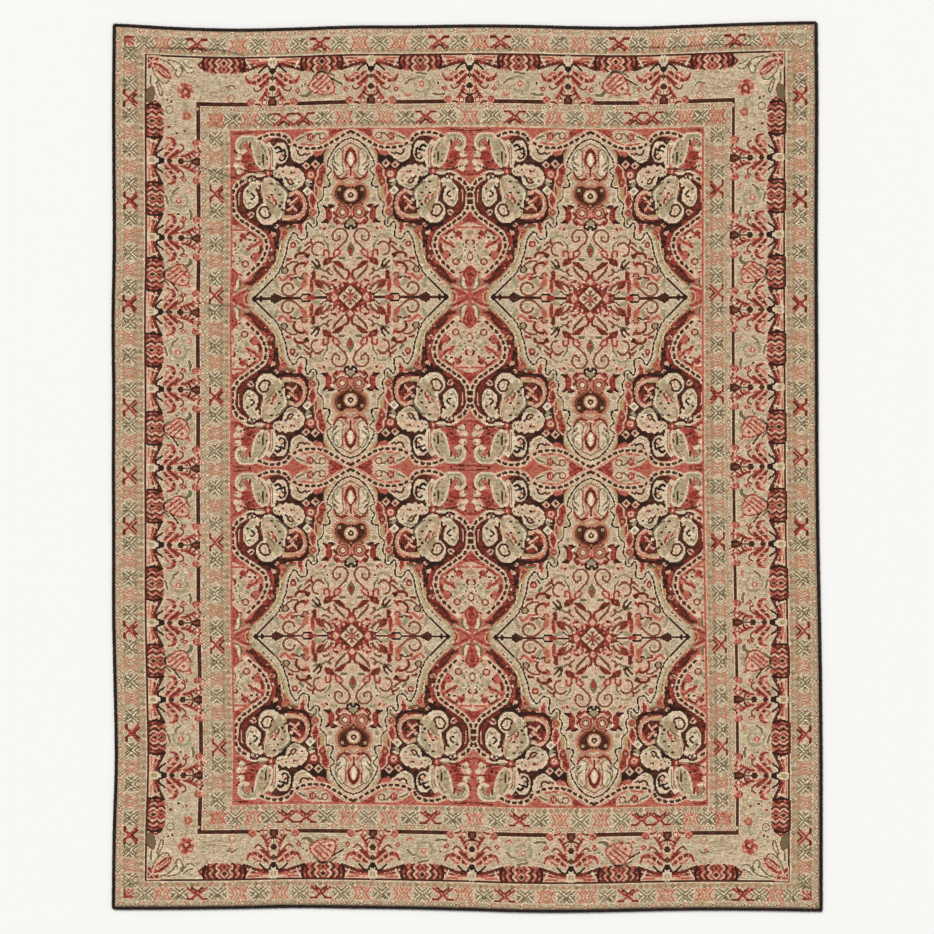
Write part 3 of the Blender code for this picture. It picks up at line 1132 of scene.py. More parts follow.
SNAIL: Figures = (
    Line(((36, 16), (41, 12.6), (46, 10.4), (52, 11.6), (58.4, 17)), BROWN, 3),
    Line(((37, 13), (42, 10), (48, 8.8)), MAROON, 1.8),
    Patch(((43, 18), (46.4, 14.4), (51.6, 14), (55.6, 18), (57, 24.4), (56, 30.6), (52, 34.6), (47, 34.6),
        (43.8, 31), (43, 24.4)), CREAM),
    Line(((44, 32), (43.2, 26), (43.4, 19)), SAGE, 1.5),
    Line(((44.6, 19.8), (47, 18.2), (49.6, 20), (50.6, 22.6), (53.4, 21.6), (54.2, 24.6)), BLACK, 2.7),
    Line(((44.8, 24.6), (47.6, 22.8), (50.4, 23.2)), BLACK, 2.2),
    Line(((54, 24), (54.6, 27.6), (53.4, 30.6), (50.6, 31.8), (48.4, 30.2)), BLACK, 2.1),
    Line(((51, 26), (53, 27)), BROWN, 1.9),
    Bead((46.4, 21.4), 1.2, WHITE),
    Bead((50, 28), 1.6, PINK),
    Line(((58, 20), (58.6, 25), (58.2, 31)), BLACK, 2),
)

CORNER_RIBBONS: Figures = (
    Ribbon(((26, 10.6), (30, 8.6), (36.5, 6.3), (43.2, 5.8), (50.4, 6.4), (56.2, 9.2), (58.5, 14))),
    Line(((51, 12.4), (54.5, 14), (58, 18)), BROWN, 2.2),
    Ribbon(((121, 4.4), (116, 5.9), (109, 10.4), (101.5, 14.5), (94.8, 18.3), (87.3, 20.3), (79.2, 20.9),
        (68, 19), (63, 16))),
    Ribbon(((13, 51), (7.2, 54.8), (3.4, 59.6), (1.2, 66), (1.6, 73), (1.8, 79.2), (4.6, 85.4), (10, 91.4),
        (15.8, 95.4), (21.8, 99.8), (27.6, 103.6), (33, 108.6), (35.5, 116.2), (34, 124.2), (31, 130.4),
        (27, 136), (20, 142.4), (13, 149)), 6.2),
    Line(((38, 134), (32, 142), (24, 149.6), (15, 156)), MAROON, 1.6),
    Line(((41, 136), (34.6, 145), (27, 152), (19, 158.6)), RED, 1.8),
)

LILY: Figures = (
    Patch(((59, 19), (63, 12), (67, 16), (76, 22.5), (84.6, 23.6), (78, 29.6), (71, 34.4), (65, 33.6),
        (60.6, 29)), CREAM),
    Patch(((62.6, 21), (66, 17.6), (74, 22.6), (81, 24), (75, 29), (69, 31.4), (64, 28.6)), BLUSH),
    Line(((62, 14.6), (62.6, 20)), SAGE, 2),
    Line(((62, 25), (64.6, 30.6), (71, 32.4)), SAGE, 1.2),
    Line(((66.2, 21.6), (67.6, 25.6), (70.8, 27.2), (74.6, 25.2)), BROWN, 2.2),
    Line(((76, 27.2), (79.6, 25.4)), MAROON, 1.8),
    Bead((68.6, 19), 1.6, MAROON),
    Line(((71, 19.4), (75, 21.4)), PINK, 2),
    Patch(((82, 25.6), (86, 23), (92, 24), (89, 28), (84, 28.4)), ROSE),
)

TOP_SPRAY: Figures = (
    Patch(((62, 16), (66, 9.5), (74, 5), (82, 3), (94, 1), (98, 6), (94, 12), (86, 17), (76, 17.6),
        (68, 17.5)), BEIGE, PINK, 1.1),
    Line(((66, 12), (69.6, 9.8), (73.2, 9.2)), OLIVE, 2.1),
    Line(((73.6, 8), (76, 5.4)), SAGE, 1.8),
    Bead((79.4, 9), 1.9, PINK, RED, 2),
    Line(((79, 7.6), (79.8, 10.6)), RUST, 1.2),
    Line(((83.6, 9), (85.4, 6.6), (88.6, 5.8)), OLIVE, 2),
    Bead((91.6, 8.4), 2.2, CREAM, RUST, 1.8),
    Bead((91.6, 8.4), 0.8, SALMON),
    Line(((71, 15.6), (76, 16.4), (86, 17.4), (92, 15), (97, 11)), ROSE, 1.7),
    Line(((76, 13.8), (84, 13.4), (89, 14.4)), SAND, 1.5),
    Line(((94.5, 15), (99, 10.6)), SALMON, 2),
)

DARK_DIAMONDS: Figures = (
    Patch(((72, 34), (80, 29), (90, 26.5), (93, 30), (90, 38), (82, 41), (74, 41), (63, 38.5), (66, 34)),
        BLACK),
    Lozenge((75.4, 37.8), (2, 2.2), MAROON, PINK, 2.2),
    Lozenge((84.6, 36.4), (2.2, 2), BROWN, PINK, 2.4),
    Patch(((73, 41.5), (80, 41), (86, 43.5), (85, 50), (78, 51.5), (74, 47.5)), MAROON),
    Bead((80, 47), 3.2, PINK, RED, 1.6),
    Bead((80.2, 46.8), 1.3, RED),
    Horn(((73.5, 51, 1), (77, 53.6, 3.6), (80.6, 54.4, 1.6)), CREAM),
    Horn(((75, 55, 1.4), (77, 57, 3.2), (80, 57.6, 1.4)), SAGE, BLACK, 0.8),
    Lozenge((76.4, 63.4), (2.4, 2.2), SAGE, WHITE, 2.6),
    Line(((75, 70), (75.8, 78), (76.4, 86)), BLACK, 3),
)

SCALLOPS: Figures = (
    Line(((94, 22), (91.8, 28), (92.4, 34), (92.8, 39)), MAROON, 2),
    Horn(((92.5, 38, 1.5), (91.5, 43.5, 7.5), (91, 49, 6), (88.6, 54, 7), (89.2, 60, 1.5)), RED, PINK, 1.5),
    Bead((91.6, 44.4), 1.6, MAROON),
    Bead((88.6, 54.6), 1.6, SALMON, MAROON, 0.9),
    Line(((95, 47), (93.6, 52), (95.6, 57)), GOLD, 2.6),
    Line(((88.4, 60), (90, 66), (88, 71)), GOLD, 2.4),
    Horn(((80.6, 65, 1), (81.6, 72.5, 6.4), (82, 79, 1.8)), RED, PINK, 1.4),
    Line(((82.6, 70), (81.4, 75)), MAROON, 1.4),
    Bead((82, 85), 2.6, RED, SALMON, 1.6),
    Bead((82, 85), 1, GOLD),
    Line(((78.6, 90), (82.6, 91.4), (82.6, 96)), OLIVE, 2.4),
    Horn(((67.4, 92.6, 1), (69, 99, 4.6), (70.6, 105.5, 1.4)), RED, PINK, 1.5),
    Line(((70.4, 97), (72.6, 93.6), (77, 91.2)), MAROON, 1.4),
    Line(((54, 99.6), (58, 100.4), (63, 99)), OLIVE, 2.2),
    Bead((53.4, 104.6), 2.2, RED, SALMON, 1.2),
    Bead((53.4, 104.6), 0.9, GOLD),
    Line(((48, 113), (47.4, 119), (46.4, 127)), SALMON, 1.4),
    Line(((52.5, 113), (51, 122), (47, 134), (42, 142)), GOLD, 2),
    Lozenge((44.4, 97.6), (1.6, 1.6), MAROON, PINK, 2),
    Horn(((38, 103, 1), (41.5, 105.5, 3.4), (43, 108, 1)), PINK),
    Line(((42.4, 109), (43.6, 117)), BLACK, 3),
    Bead((41.6, 131), 1.4, ROSE, BROWN, 1.8),
    Line(((40.6, 121), (39.6, 124)), CREAM, 1.8),
    Line(((33, 134), (36, 130), (40, 133)), PINK, 1.4),
    Line(((3, 169), (11, 164.6), (22, 160.6)), RED, 2),
    Line(((2, 166), (9, 162), (18, 158.6)), PINK, 1.4),
)

LEFT_PAISLEY: Figures = (
    Line(((16, 54.6), (11.4, 58.6), (9.4, 64), (8.8, 71), (10, 78), (13, 84), (18, 90.6), (25, 96)), MAROON,
        4.6),
    Line(((15, 55), (11.6, 59), (10.4, 65)), BROWN, 1.8),
    Line(((8.2, 63), (7.4, 69), (7.8, 76)), PINK, 1.1),
    Patch(((16.6, 56.6), (20.6, 52.6), (27, 51.4), (29.6, 54.6), (27.6, 59.4), (25.4, 62), (26.6, 67),
        (27, 72), (24.6, 77), (19, 80.6), (14.4, 77.6), (11.8, 71.6), (11.8, 65), (13.4, 60)), CREAM),
    Patch(((18, 57.6), (22.6, 54.6), (26, 56.6), (22.6, 60), (19, 64), (16, 68.6), (15.4, 62)), MOSS),
    Line(((25, 60), (27.6, 64), (29.2, 68), (30.2, 72), (26.6, 76.2), (23.6, 79)), BROWN, 3),
    Line(((29.6, 62), (30.8, 66), (31.6, 69)), SALMON, 1.5),
    Seeds(((16.4, 62.4), (28.6, 57.2)), BROWN, 1.3),
    Line(((20.4, 64.4), (22.4, 66.4), (22.4, 69.2), (20.2, 70.2)), BLACK, 2.1),
    Line(((16.6, 74.6), (19.6, 74)), OLIVE, 1.9),
    Line(((13.6, 68.6), (14.2, 73), (17.6, 77.4)), SAGE, 1.6),
    Line(((22.6, 72.6), (22, 75.6)), SAND, 1.6),
    # The arch of small cream lozenges over it, and the little cross below it.
    Line(((11.6, 52.4), (14.4, 47.6), (20, 45.6), (26.6, 46.6), (32.4, 46)), CREAM, 3),
    Line(((14.4, 49.6), (17.4, 47.4), (23.6, 47), (26.6, 50.6)), BLACK, 1.4),
    Lozenge((18.4, 50.8), (1.7, 2.3), CREAM, BLACK, 1.3),
    Lozenge((23.2, 50.2), (1.4, 1.5), CREAM, BLACK, 1.2),
    Line(((16.2, 83), (19.4, 80.8), (23, 81), (24.4, 84.4), (23, 89)), BROWN, 2.2),
    Line(((17.2, 85.8), (20, 83.4), (22.4, 85.2)), PINK, 1.6),
    Line(((18.6, 88.6), (21.4, 87.2)), PINK, 1.6),
)

GREAT_PAISLEY: Figures = (
    Patch(((33, 49.6), (39.6, 48.6), (44.6, 52), (49.6, 56.2), (53.6, 61), (56.6, 66.4), (57, 71.4),
        (54.6, 75), (54, 80), (52.4, 86), (49, 91), (43.6, 94.6), (37, 96.4), (30.6, 94.6), (26.4, 90),
        (24.8, 84.6), (26.2, 79.6), (29.6, 76.2), (32, 73.6), (31, 67), (29.8, 60), (30.4, 53.6)), CREAM),
    Patch(((34, 51.4), (39.6, 50.8), (44.6, 54.6), (50, 60), (53.4, 66), (52.6, 73), (51.4, 80), (48.6, 87),
        (44.6, 90.6), (42.6, 84), (43, 78), (38.6, 73.6), (34.6, 71), (32.6, 64), (32, 56.6)), MOSS),
    Patch(((36, 56), (41, 57), (45, 63.6), (47, 72), (46, 79), (41.6, 73.6), (36.6, 68.6), (34.6, 62)),
        BLUSH),
    Patch(((36.4, 73.2), (40.6, 75.4), (43.2, 79.6), (43, 84.6), (39.6, 86), (38, 80.6), (34.6, 76.4)),
        SAND),
    Line(((34.4, 71), (39.6, 73.6), (43.4, 78.6)), OLIVE, 1.5),
    Line(((41, 82), (44.6, 80.4)), SAND, 1.4),
    Line(((36.8, 67), (38.6, 70)), RED, 1.5),
    Line(((41.4, 67.6), (42.4, 70), (41.4, 73)), ROSE, 1.8),
    Line(((43.4, 70.6), (44.6, 73), (44.8, 76.6)), MAROON, 1.8),
    Line(((32.4, 50.6), (31.4, 55.6), (32.2, 60)), SALMON, 1.6),
    Seeds(((40.4, 55), (44, 61), (48.4, 66), (50.6, 73.8)), BROWN, 1.3),
    Seeds(((40.4, 66), (48.8, 77.8)), BLACK, 1.5),
    Seeds(((46.8, 61.4), (36, 61), (52, 69.6), (46.6, 84.6)), SAGE, 1.3),
    Line(((31, 47.6), (34, 47.6)), BROWN, 1.8),
    Line(((41.2, 48.4), (44, 50.4)), BROWN, 1.8),
    # The curl at its foot round a pale heart, and the dark hollow below.
    Line(((28.2, 83), (29.6, 79.4), (33, 77.8), (36.4, 79.6), (37.6, 83.6), (39, 87), (36.6, 89),
        (32.6, 89.2), (29.6, 86.6)), BROWN, 2.3, closed=True),
    Bead((33.4, 83.8), 3.6, CREAM),
    Line(((33, 81.6), (34.6, 83.6), (34, 86.4)), SALMON, 1.4),
    Line(((31.6, 92.4), (36, 92.6), (40, 90)), BLUSH, 2.2),
    Line(((22.6, 91.6), (27, 96.6), (34, 98.8), (41.6, 97.2), (47.6, 92.8), (55, 94.6), (64, 94.6),
        (72, 92.4), (76.4, 86.6)), BLACK, 3.4),
    Line(((49, 92), (57, 92.8), (66, 92.6)), MAROON, 1.8),
)

SAW_PAISLEY: Figures = (
    Patch(((41.4, 44.6), (42.4, 40.8), (46.4, 40), (48, 37.2), (51.6, 38.6), (55, 36.4), (58.6, 38.2),
        (62.4, 37), (65, 39.4), (68.6, 39.8), (70.2, 42.6), (73.2, 44.6), (73.4, 48), (75.2, 51),
        (73.6, 54.4), (71.6, 57.6), (66.6, 60.6), (61.6, 62.8), (57, 61.4), (53, 58), (51.4, 54),
        (52, 50.6), (46, 49.6), (42.6, 47.6)), CREAM, BROWN, 1, straight=True),
    Patch(((43.6, 44.6), (46.6, 42), (53, 40.6), (61, 41), (67, 43.6), (71, 48.6), (71, 53), (66, 50),
        (60.6, 47.6), (54, 47.6), (47, 48)), BLUSH),
    Patch(((55, 58.4), (60, 57.6), (67, 56.6), (66, 58.8), (60.6, 60.8)), SAGE),
    Line(((50, 50), (51.4, 53.4), (52.6, 57.6), (57, 62), (60, 63.4)), BLACK, 2),
    Line(((44, 50), (48, 51), (50, 53.6)), BLACK, 2.6),
    Line(((45.6, 54.6), (50.6, 58), (55.6, 63), (57.8, 69)), OLIVE, 1.7),
    Line(((54.4, 49.4), (56.6, 51.4), (57, 54.2), (59.4, 56), (62.6, 55.4)), BROWN, 2),
    Line(((58.6, 50.8), (61, 52.6), (61.4, 54.8)), MAROON, 1.6),
    Bead((58.8, 53.2), 1.3, PINK),
    Seeds(((44.4, 44.6), (48.4, 45.6), (52.2, 42.8), (59.6, 43.6)), BROWN, 1.1),
    Line(((60.6, 45), (64, 44)), MAROON, 1.4),
    Seeds(((50, 40.8), (55.4, 41.8), (55.6, 44.8), (64.6, 41.4), (68.6, 44.6)), PINK, 1.3),
    Seeds(((67, 48), (63.6, 51)), SAGE, 1.4),
    Bead((67.8, 53.8), 1.3, BROWN),
    # The small red knot and the cream dot between the three paisleys.
    Patch(((33, 43.6), (36, 41), (40.6, 42.4), (41.4, 46), (37.6, 48), (33.4, 47)), RED, BROWN, 0.8),
    Bead((37, 44.6), 1.4, PINK),
    Bead((31, 46.4), 1.5, CREAM),
)

RING_SCROLL: Figures = (
    Patch(((54.6, 73), (58, 69), (64, 67.6), (70, 71), (71.4, 79), (68, 84), (60, 86), (54.4, 82.6)),
        MAROON),
    Line(((59.6, 66), (63.6, 64), (68.6, 66), (72, 70.6), (73.8, 76.6), (73, 82.6), (69, 87), (62, 89.6),
        (52.6, 90)), PINK, 4.2),
    Line(((71, 67.6), (74.6, 75), (74, 83), (68, 89.6)), SALMON, 1.3),
    Line(((51.4, 84.6), (53, 88), (60, 88)), GOLD, 2.6),
    Line(((60, 91.4), (66, 90)), SALMON, 1.6),
    Line(((64, 66.4), (68.6, 69), (70.6, 74)), RED, 2.2),
    Line(((56, 82.4), (59.4, 80.4), (62.6, 77.4)), PINK, 2.2),
    Line(((60.8, 78.4), (63.6, 80.6), (66.4, 84)), PINK, 2),
    Line(((58.6, 76.4), (62.4, 73), (66, 70)), PINK, 1.9),
    Line(((62.6, 74.6), (65, 74)), ROSE, 1.7),
    Line(((64, 78), (68, 74.6)), BROWN, 1.8),
    Line(((66.6, 83.6), (70, 79)), BLACK, 2.2),
    Bead((57.6, 72.8), 1.7, CREAM),
    Line(((55, 73.4), (54.8, 78), (57.6, 78.6)), BLACK, 2),
    Line(((56.6, 69.4), (60.6, 70.2)), BLACK, 2.8),
    Line(((50.8, 81.2), (55.4, 83.4)), BROWN, 1.9),
    Line(((75.4, 69.6), (77, 76), (77.2, 82), (75.4, 86.6)), BROWN, 2.4),
)

EDGE_PALMETTE: Figures = (
    Patch(((-8, 92), (-4, 87.6), (4, 87.6), (8, 92), (4, 97), (-4, 97)), RED),
    Patch(((-2, 100), (10, 99.4), (20, 102), (28, 110), (30, 120), (27, 131), (20, 140), (12, 150),
        (-2, 150)), BLUSH),
    Line(((2, 101), (12, 101), (20, 103.6), (26, 109)), ROSE, 1.9),
    Patch(((-2, 104.4), (2.6, 104), (4, 106.6), (2, 108.6), (-2, 108.8)), SAND),
    Patch(((9, 115), (14.6, 113), (15, 120), (20, 122), (18, 126.6), (8.6, 127), (7, 120.6)), BEIGE),
    Seeds(((12.6, 117.6), (9.6, 121.6), (12.4, 142.4), (15.6, 125), (9, 131.6)), SAGE, 2),
    Bead((11.6, 107.4), 3.2, RED, PINK, 1.2),
    Seeds(((9.8, 107), (9.2, 111.6)), MAROON, 1.4),
    Bead((14.4, 110), 1.3, ROSE),
    Line(((15.6, 106.4), (17.6, 103.8), (21, 105.2), (24, 107.6)), MAROON, 2.2),
    Line(((18, 108.6), (21, 110)), CREAM, 2),
    Seeds(((18.6, 111), (23.8, 111.6)), BROWN, 1.5),
    Line(((16.4, 120.6), (19.6, 118.2), (23.6, 116.6), (28.8, 112.8)), RED, 3),
    Line(((16.6, 117.6), (20.6, 114.6)), ROSE, 1.6),
    Bead((28.4, 115.4), 1.6, SALMON),
    Line(((29.4, 118.4), (29.8, 121.4), (28.2, 124.8)), MAROON, 3.6),
    Bead((24.8, 128.2), 3.8, ROSE, RED, 0.9),
    Bead((20, 128.2), 1.4, BROWN),
    Line(((25.4, 133.4), (23, 136.8)), RED, 2.2),
    Seeds(((6.8, 118.4), (4.2, 120.6), (5, 123.6), (8.2, 129), (6.4, 135)), OLIVE, 1.2),
    Line(((2.2, 113.4), (4.2, 115.4), (3, 117.4)), MAROON, 1.6),
    Patch(((-2.6, 130), (0, 125.6), (2.6, 130), (0, 134.6)), CREAM, MAROON, 1.3),
    Bead((14, 135.2), 2.2, PINK, RUST, 1.7),
    Line(((20.6, 132), (18.6, 138.6), (12, 146)), PINK, 1.6),
    # The red leaf on the midline with its thin wings, and the pale leaf that holds the medallion's tip.
    Line(((7.4, 145.4), (12, 146.4), (17, 142.6)), MAROON, 1.5),
    Line(((8, 149), (14, 149.6), (19, 146.6)), ROSE, 1.4),
    Line(((9.6, 150.6), (11.6, 156), (8.4, 161.6)), SALMON, 1.6),
    Patch(((-6, 145), (0, 139), (6.6, 144.6), (6.4, 150), (3, 158), (-3, 158)), RED),
    Line(((2.4, 144), (4.2, 148), (2, 154)), ROSE, 1.8),
    Line(((7.6, 152.8), (8.6, 156.6), (6.8, 160), (4.6, 162.4)), OLIVE, 4),
    Line(((6.6, 152.6), (6.8, 156.6), (4.6, 161)), CREAM, 3),
    Line(((15, 155.4), (18.6, 153.6)), BLACK, 2.6),
    Line(((17, 158.4), (22, 161)), SAGE, 3.4),
    # The dark red ground outside the ribbon, its pale spot and its gold wedge.
    Line(((38, 98.6), (43, 101.6)), BLACK, 5),
    Bead((42.6, 106), 2.2, PINK),
    Line(((39, 107), (41, 112), (41.6, 119)), RED, 3.4),
    Seeds(((46.6, 114.6), (46.8, 119.8), (38.4, 103.6)), BLACK, 1.7),
    Line(((42, 124.6), (44.4, 129.4), (43, 134), (39.6, 136.6)), BROWN, 2),
    Bead((39.8, 125.4), 2.2, MAROON),
    Seeds(((41, 129.6), (36.4, 129.6)), SALMON, 1.6),
    Line(((32.6, 136.4), (37.6, 134.6)), RED, 4),
    Line(((38, 138.4), (31, 139.8), (25.6, 144.8), (21.6, 150.4)), BROWN, 2.2),
    Line(((25, 153.6), (28.6, 149.4), (33, 146)), BROWN, 1.8),
    Line(((35, 141.6), (40, 142.6)), PINK, 1.8),
)

KEYHOLE: Figures = (
    Patch(((104, 46), (101.6, 34), (104, 26), (109, 21.6), (112, 27), (111.6, 36), (112.6, 45), (108, 49)),
        CREAM, OLIVE, 1.2),
    Line(((103.4, 28), (103.6, 34), (108, 38.4)), OLIVE, 1.8),
    Line(((108, 24.6), (105.6, 30)), SAGE, 1.8),
    Line(((103, 44.6), (105.6, 49.6), (111, 52.4), (116, 50.6)), MAROON, 2.4),
    Horn(((120, 20, 6), (120, 26, 15), (120, 33, 16), (120, 39, 7), (120, 49, 4.5)), PINK),
    Horn(((120, 22.4, 4), (120, 27, 10.6), (120, 33, 12), (120, 39, 4), (120, 49, 1.4)), MAROON),
    Horn(((120, 27.6, 2.6), (120, 32.6, 5), (120, 37, 2)), WHITE, PINK, 1.1),
    Line(((113.6, 44), (115.4, 47.6)), SALMON, 1.6),
    Line(((103, 48.6), (106, 53), (112, 55.4), (117, 53.6), (121, 50.6)), SALMON, 1.8),
    Line(((112, 50.6), (116, 48), (117.6, 44.6)), ROSE, 1.6),
    Line(((104, 40), (106.6, 43)), BROWN, 1.6),
    Line(((113, 22), (112, 28), (113.6, 34), (115.6, 40)), ROSE, 1.4),
)

HEART: Figures = (
    Patch(((104, 60.6), (107, 57.4), (112, 56.6), (116, 58.6), (121, 60), (121, 86), (117, 80.6), (110, 78),
        (104.6, 73), (102.4, 66.6)), BROWN, SALMON, 2.6),
    Line(((105.6, 63), (105.4, 68), (108, 73), (113, 76.6), (118, 79.6)), RUST, 1.6),
    Bead((108.6, 62.6), 1.9, GOLD),
    Bead((120, 68.4), 5.6, CREAM, SALMON, 1.4),
    Bead((120, 68.4), 3, BROWN),
    Bead((120, 68.4), 1.2, PINK),
    Bead((120, 78), 1.3, SALMON),
    Bead((108.4, 77.6), 1.3, MAROON),
    Line(((103, 78.6), (109, 81.6), (115, 82.6)), PINK, 1.6),
)

MEDALLION_FLOWERS: Figures = (
    Bead((96.6, 72.4), 2.4, SAND, CREAM, 1.2),
    # The dark-tipped red star and the curls beside it.
    Patch(((91.6, 77), (96, 79.6), (98, 76.4), (104, 78.4), (100.6, 84), (101, 91), (97, 96.6),
        (90.6, 95.4), (95, 90), (95, 83.6)), MAROON, straight=True),
    Line(((97.6, 81), (97.8, 91)), RED, 3.9),
    Line(((92.4, 78.4), (95.4, 80.4)), BLACK, 2.3),
    Line(((99.4, 77.8), (103, 79)), BLACK, 2.3),
    Line(((91.4, 95), (95.6, 93.6)), BLACK, 2.3),
    Bead((101.6, 82.6), 1.5, WHITE),
    Bead((111.6, 85.4), 5.4, SALMON, MAROON, 1.2),
    Bead((111.6, 85.4), 2.2, CREAM, MAROON, 1.3),
    Line(((103, 85), (105.4, 89), (103, 92.6), (106.4, 96.6)), MAROON, 2.6),
    Line(((106, 93), (111, 97), (115.6, 94.6)), RED, 2.3),
    Line(((116.6, 84), (117.6, 90), (121, 88)), RED, 2.1),
    Line(((91.6, 98.6), (94, 103)), PINK, 2.9),
    Line(((88.4, 101.6), (90.4, 100)), ROSE, 1.8),
    Line(((92.4, 102.6), (94.6, 100.4)), MAROON, 1.8),
    Lozenge((120, 97), (4.6, 5.6), SAGE, CREAM, 1.2),
    Line(((114.6, 96.6), (114.2, 99.6), (117.6, 102)), BLACK, 2.5),
    Line(((118, 99.6), (120.6, 98.6)), BLACK, 2.1),
    Line(((121, 89.4), (117.6, 92.6), (115.4, 95)), BROWN, 1.7),
    Line(((99, 100), (103, 99.4)), SAGE, 3.4),
    # The great spiral, the bud on the axis and the butterfly flower.
    Line(((106, 122.8), (111, 118.2), (115.4, 113.8), (116.6, 108.6), (114.6, 104), (109.8, 101.8),
        (104.8, 103), (101.8, 107), (102, 111.6), (105, 114), (108.6, 112), (109.2, 108.8)), RUST, 2.2),
    Bead((106.6, 109.6), 1.8, SAND),
    Patch(((121, 113.6), (117.6, 117.6), (115.6, 122.6), (118, 128.6), (121, 132)), OLIVE, straight=True),
    Patch(((121, 118.4), (118.2, 121.6), (117.8, 125), (121, 130.6)), RED, straight=True),
    Line(((103, 131), (102.6, 127), (105, 123.6), (109.6, 124), (107, 129)), RED, 2),
    Line(((101.6, 130.6), (106.6, 128.6), (109, 125.6)), RED, 1.8),
    Patch(((93, 138.6), (92.4, 134.6), (95, 131), (101, 130.4), (102, 134), (98, 137)), MAROON),
    Line(((93, 128.6), (92.6, 124.8), (95, 122.8), (97.8, 125), (98, 130)), RED, 2),
    Bead((96.6, 133.6), 1.4, RED),
    Horn(((102.6, 135, 2), (107, 136.6, 5.4), (113, 141.4, 3)), MAROON, PINK, 1),
    Line(((109, 131.6), (113.6, 131.8)), OLIVE, 2.6),
    Line(((102.8, 139), (106.6, 144), (111, 149), (114.4, 153)), BROWN, 1.7),
    Line(((98.6, 141.6), (96.6, 143.6), (98.6, 146.6), (101.6, 148)), MAROON, 1.8),
    # The C scroll under its sage arch.
    Line(((82, 111), (85, 108.6), (90, 108), (93, 110)), SAGE, 2.6),
    Line(((80.2, 111.6), (80.6, 116.6)), MAROON, 2.1),
    Line(((87, 128), (82.6, 126.4), (81, 121.6), (83.4, 116.6), (88, 114.6), (92.4, 117.4)), RUST, 2.3),
    Line(((92.6, 113), (96.6, 117.6), (97.6, 123)), OLIVE, 1.8),
    Line(((84, 121), (88, 120), (90, 124)), PINK, 2.1),
    Bead((95.6, 110), 1.2, BROWN),
)

SIDE_FLOWERS: Figures = (
    Bead((62, 117.2), 2.2, ROSE, MAROON, 1),
    Bead((62, 117.2), 0.9, PINK),
    Line(((65, 112.6), (68, 115.4)), BROWN, 1.9),
    Line(((66.6, 122.6), (70, 119.6)), OLIVE, 2.7),
    Line(((73.6, 118), (78, 114.8)), RUST, 2.4),
    Line(((73.6, 123.6), (78.6, 119)), RUST, 2.4),
    Line(((64, 130), (65.6, 126.6), (71, 125.6), (77.6, 127.6)), MAROON, 3),
    Bead((76.4, 128.6), 2.2, BROWN),
    Line(((56, 131.4), (59.4, 131)), MAROON, 2.7),
    Line(((69, 132.6), (71, 129.4), (73.6, 129)), SALMON, 1.8),
    Bead((53.8, 142.6), 2.4, SAND, BROWN, 1.5),
    Line(((54, 138.6), (58, 135.6), (62, 133.8), (66, 134)), RUST, 2.3),
    Line(((64.6, 146), (63.4, 141.6), (66.6, 137), (71, 135.4), (75, 136)), MAROON, 2.7),
    Line(((73.6, 138.6), (76.6, 134.6)), RED, 2.4),
    Bead((69.6, 142), 3, PINK),
    Line(((48.4, 149), (51.6, 152.6), (56, 149.6), (58, 147.4), (62, 147.4)), ROSE, 2.4),
    Bead((60.6, 151), 2, RED, PINK, 1),
    Line(((63, 150.4), (67, 149.4), (71, 151.4)), BROWN, 1.8),
    Bead((74, 148.4), 2.4, SALMON, MAROON, 1.2),
    # The fern, the red bell and its stem.
    Line(((81, 134), (84.6, 138), (87.6, 141.6)), BROWN, 2.4),
    Line(((84.6, 131.6), (88, 135.6), (88.6, 140)), BROWN, 2.2),
    Line(((80.6, 139.6), (84.6, 141.6)), OLIVE, 2.2),
    Line(((89, 141), (93.6, 144)), OLIVE, 2.2),
    Patch(((80.6, 144.6), (84.6, 144), (84.8, 151), (81.6, 153)), MAROON),
    Line(((77.6, 150), (78, 157), (77.4, 166)), PINK, 2.7),
    Horn(((80.6, 151, 2), (81, 157.6, 4.6), (81.4, 164.6, 2)), RED),
    Horn(((85, 153.6, 2), (88.4, 156.6, 6), (91, 160, 3)), MAROON, ROSE, 0.9),
    Horn(((71, 159.6, 1.4), (73.6, 156, 4.6), (74.6, 152, 2)), ROSE, SALMON, 1),
    Line(((92, 150), (96, 150.6), (99, 153.6)), OLIVE, 2),
    Line(((91.6, 153.6), (96.6, 158.6), (99.6, 162.6)), BROWN, 2),
    Line(((93.6, 152.6), (98.6, 157.6)), PINK, 1.8),
    Line(((62.6, 160.4), (61, 156.8), (57, 155.4), (53, 157.4), (51.2, 161.6), (52.8, 165.6), (57, 168),
        (63, 167.2), (67.4, 163.4), (71, 160.6)), RUST, 2.4),
    Bead((57.4, 161.2), 1.6, SAND),
    Line(((65, 153), (67.6, 157.6)), SAGE, 4.1),
    Line(((44, 152), (46.6, 158)), SAGE, 3.5),
    Line(((84, 166), (88, 164.6)), SAGE, 4.1),
)

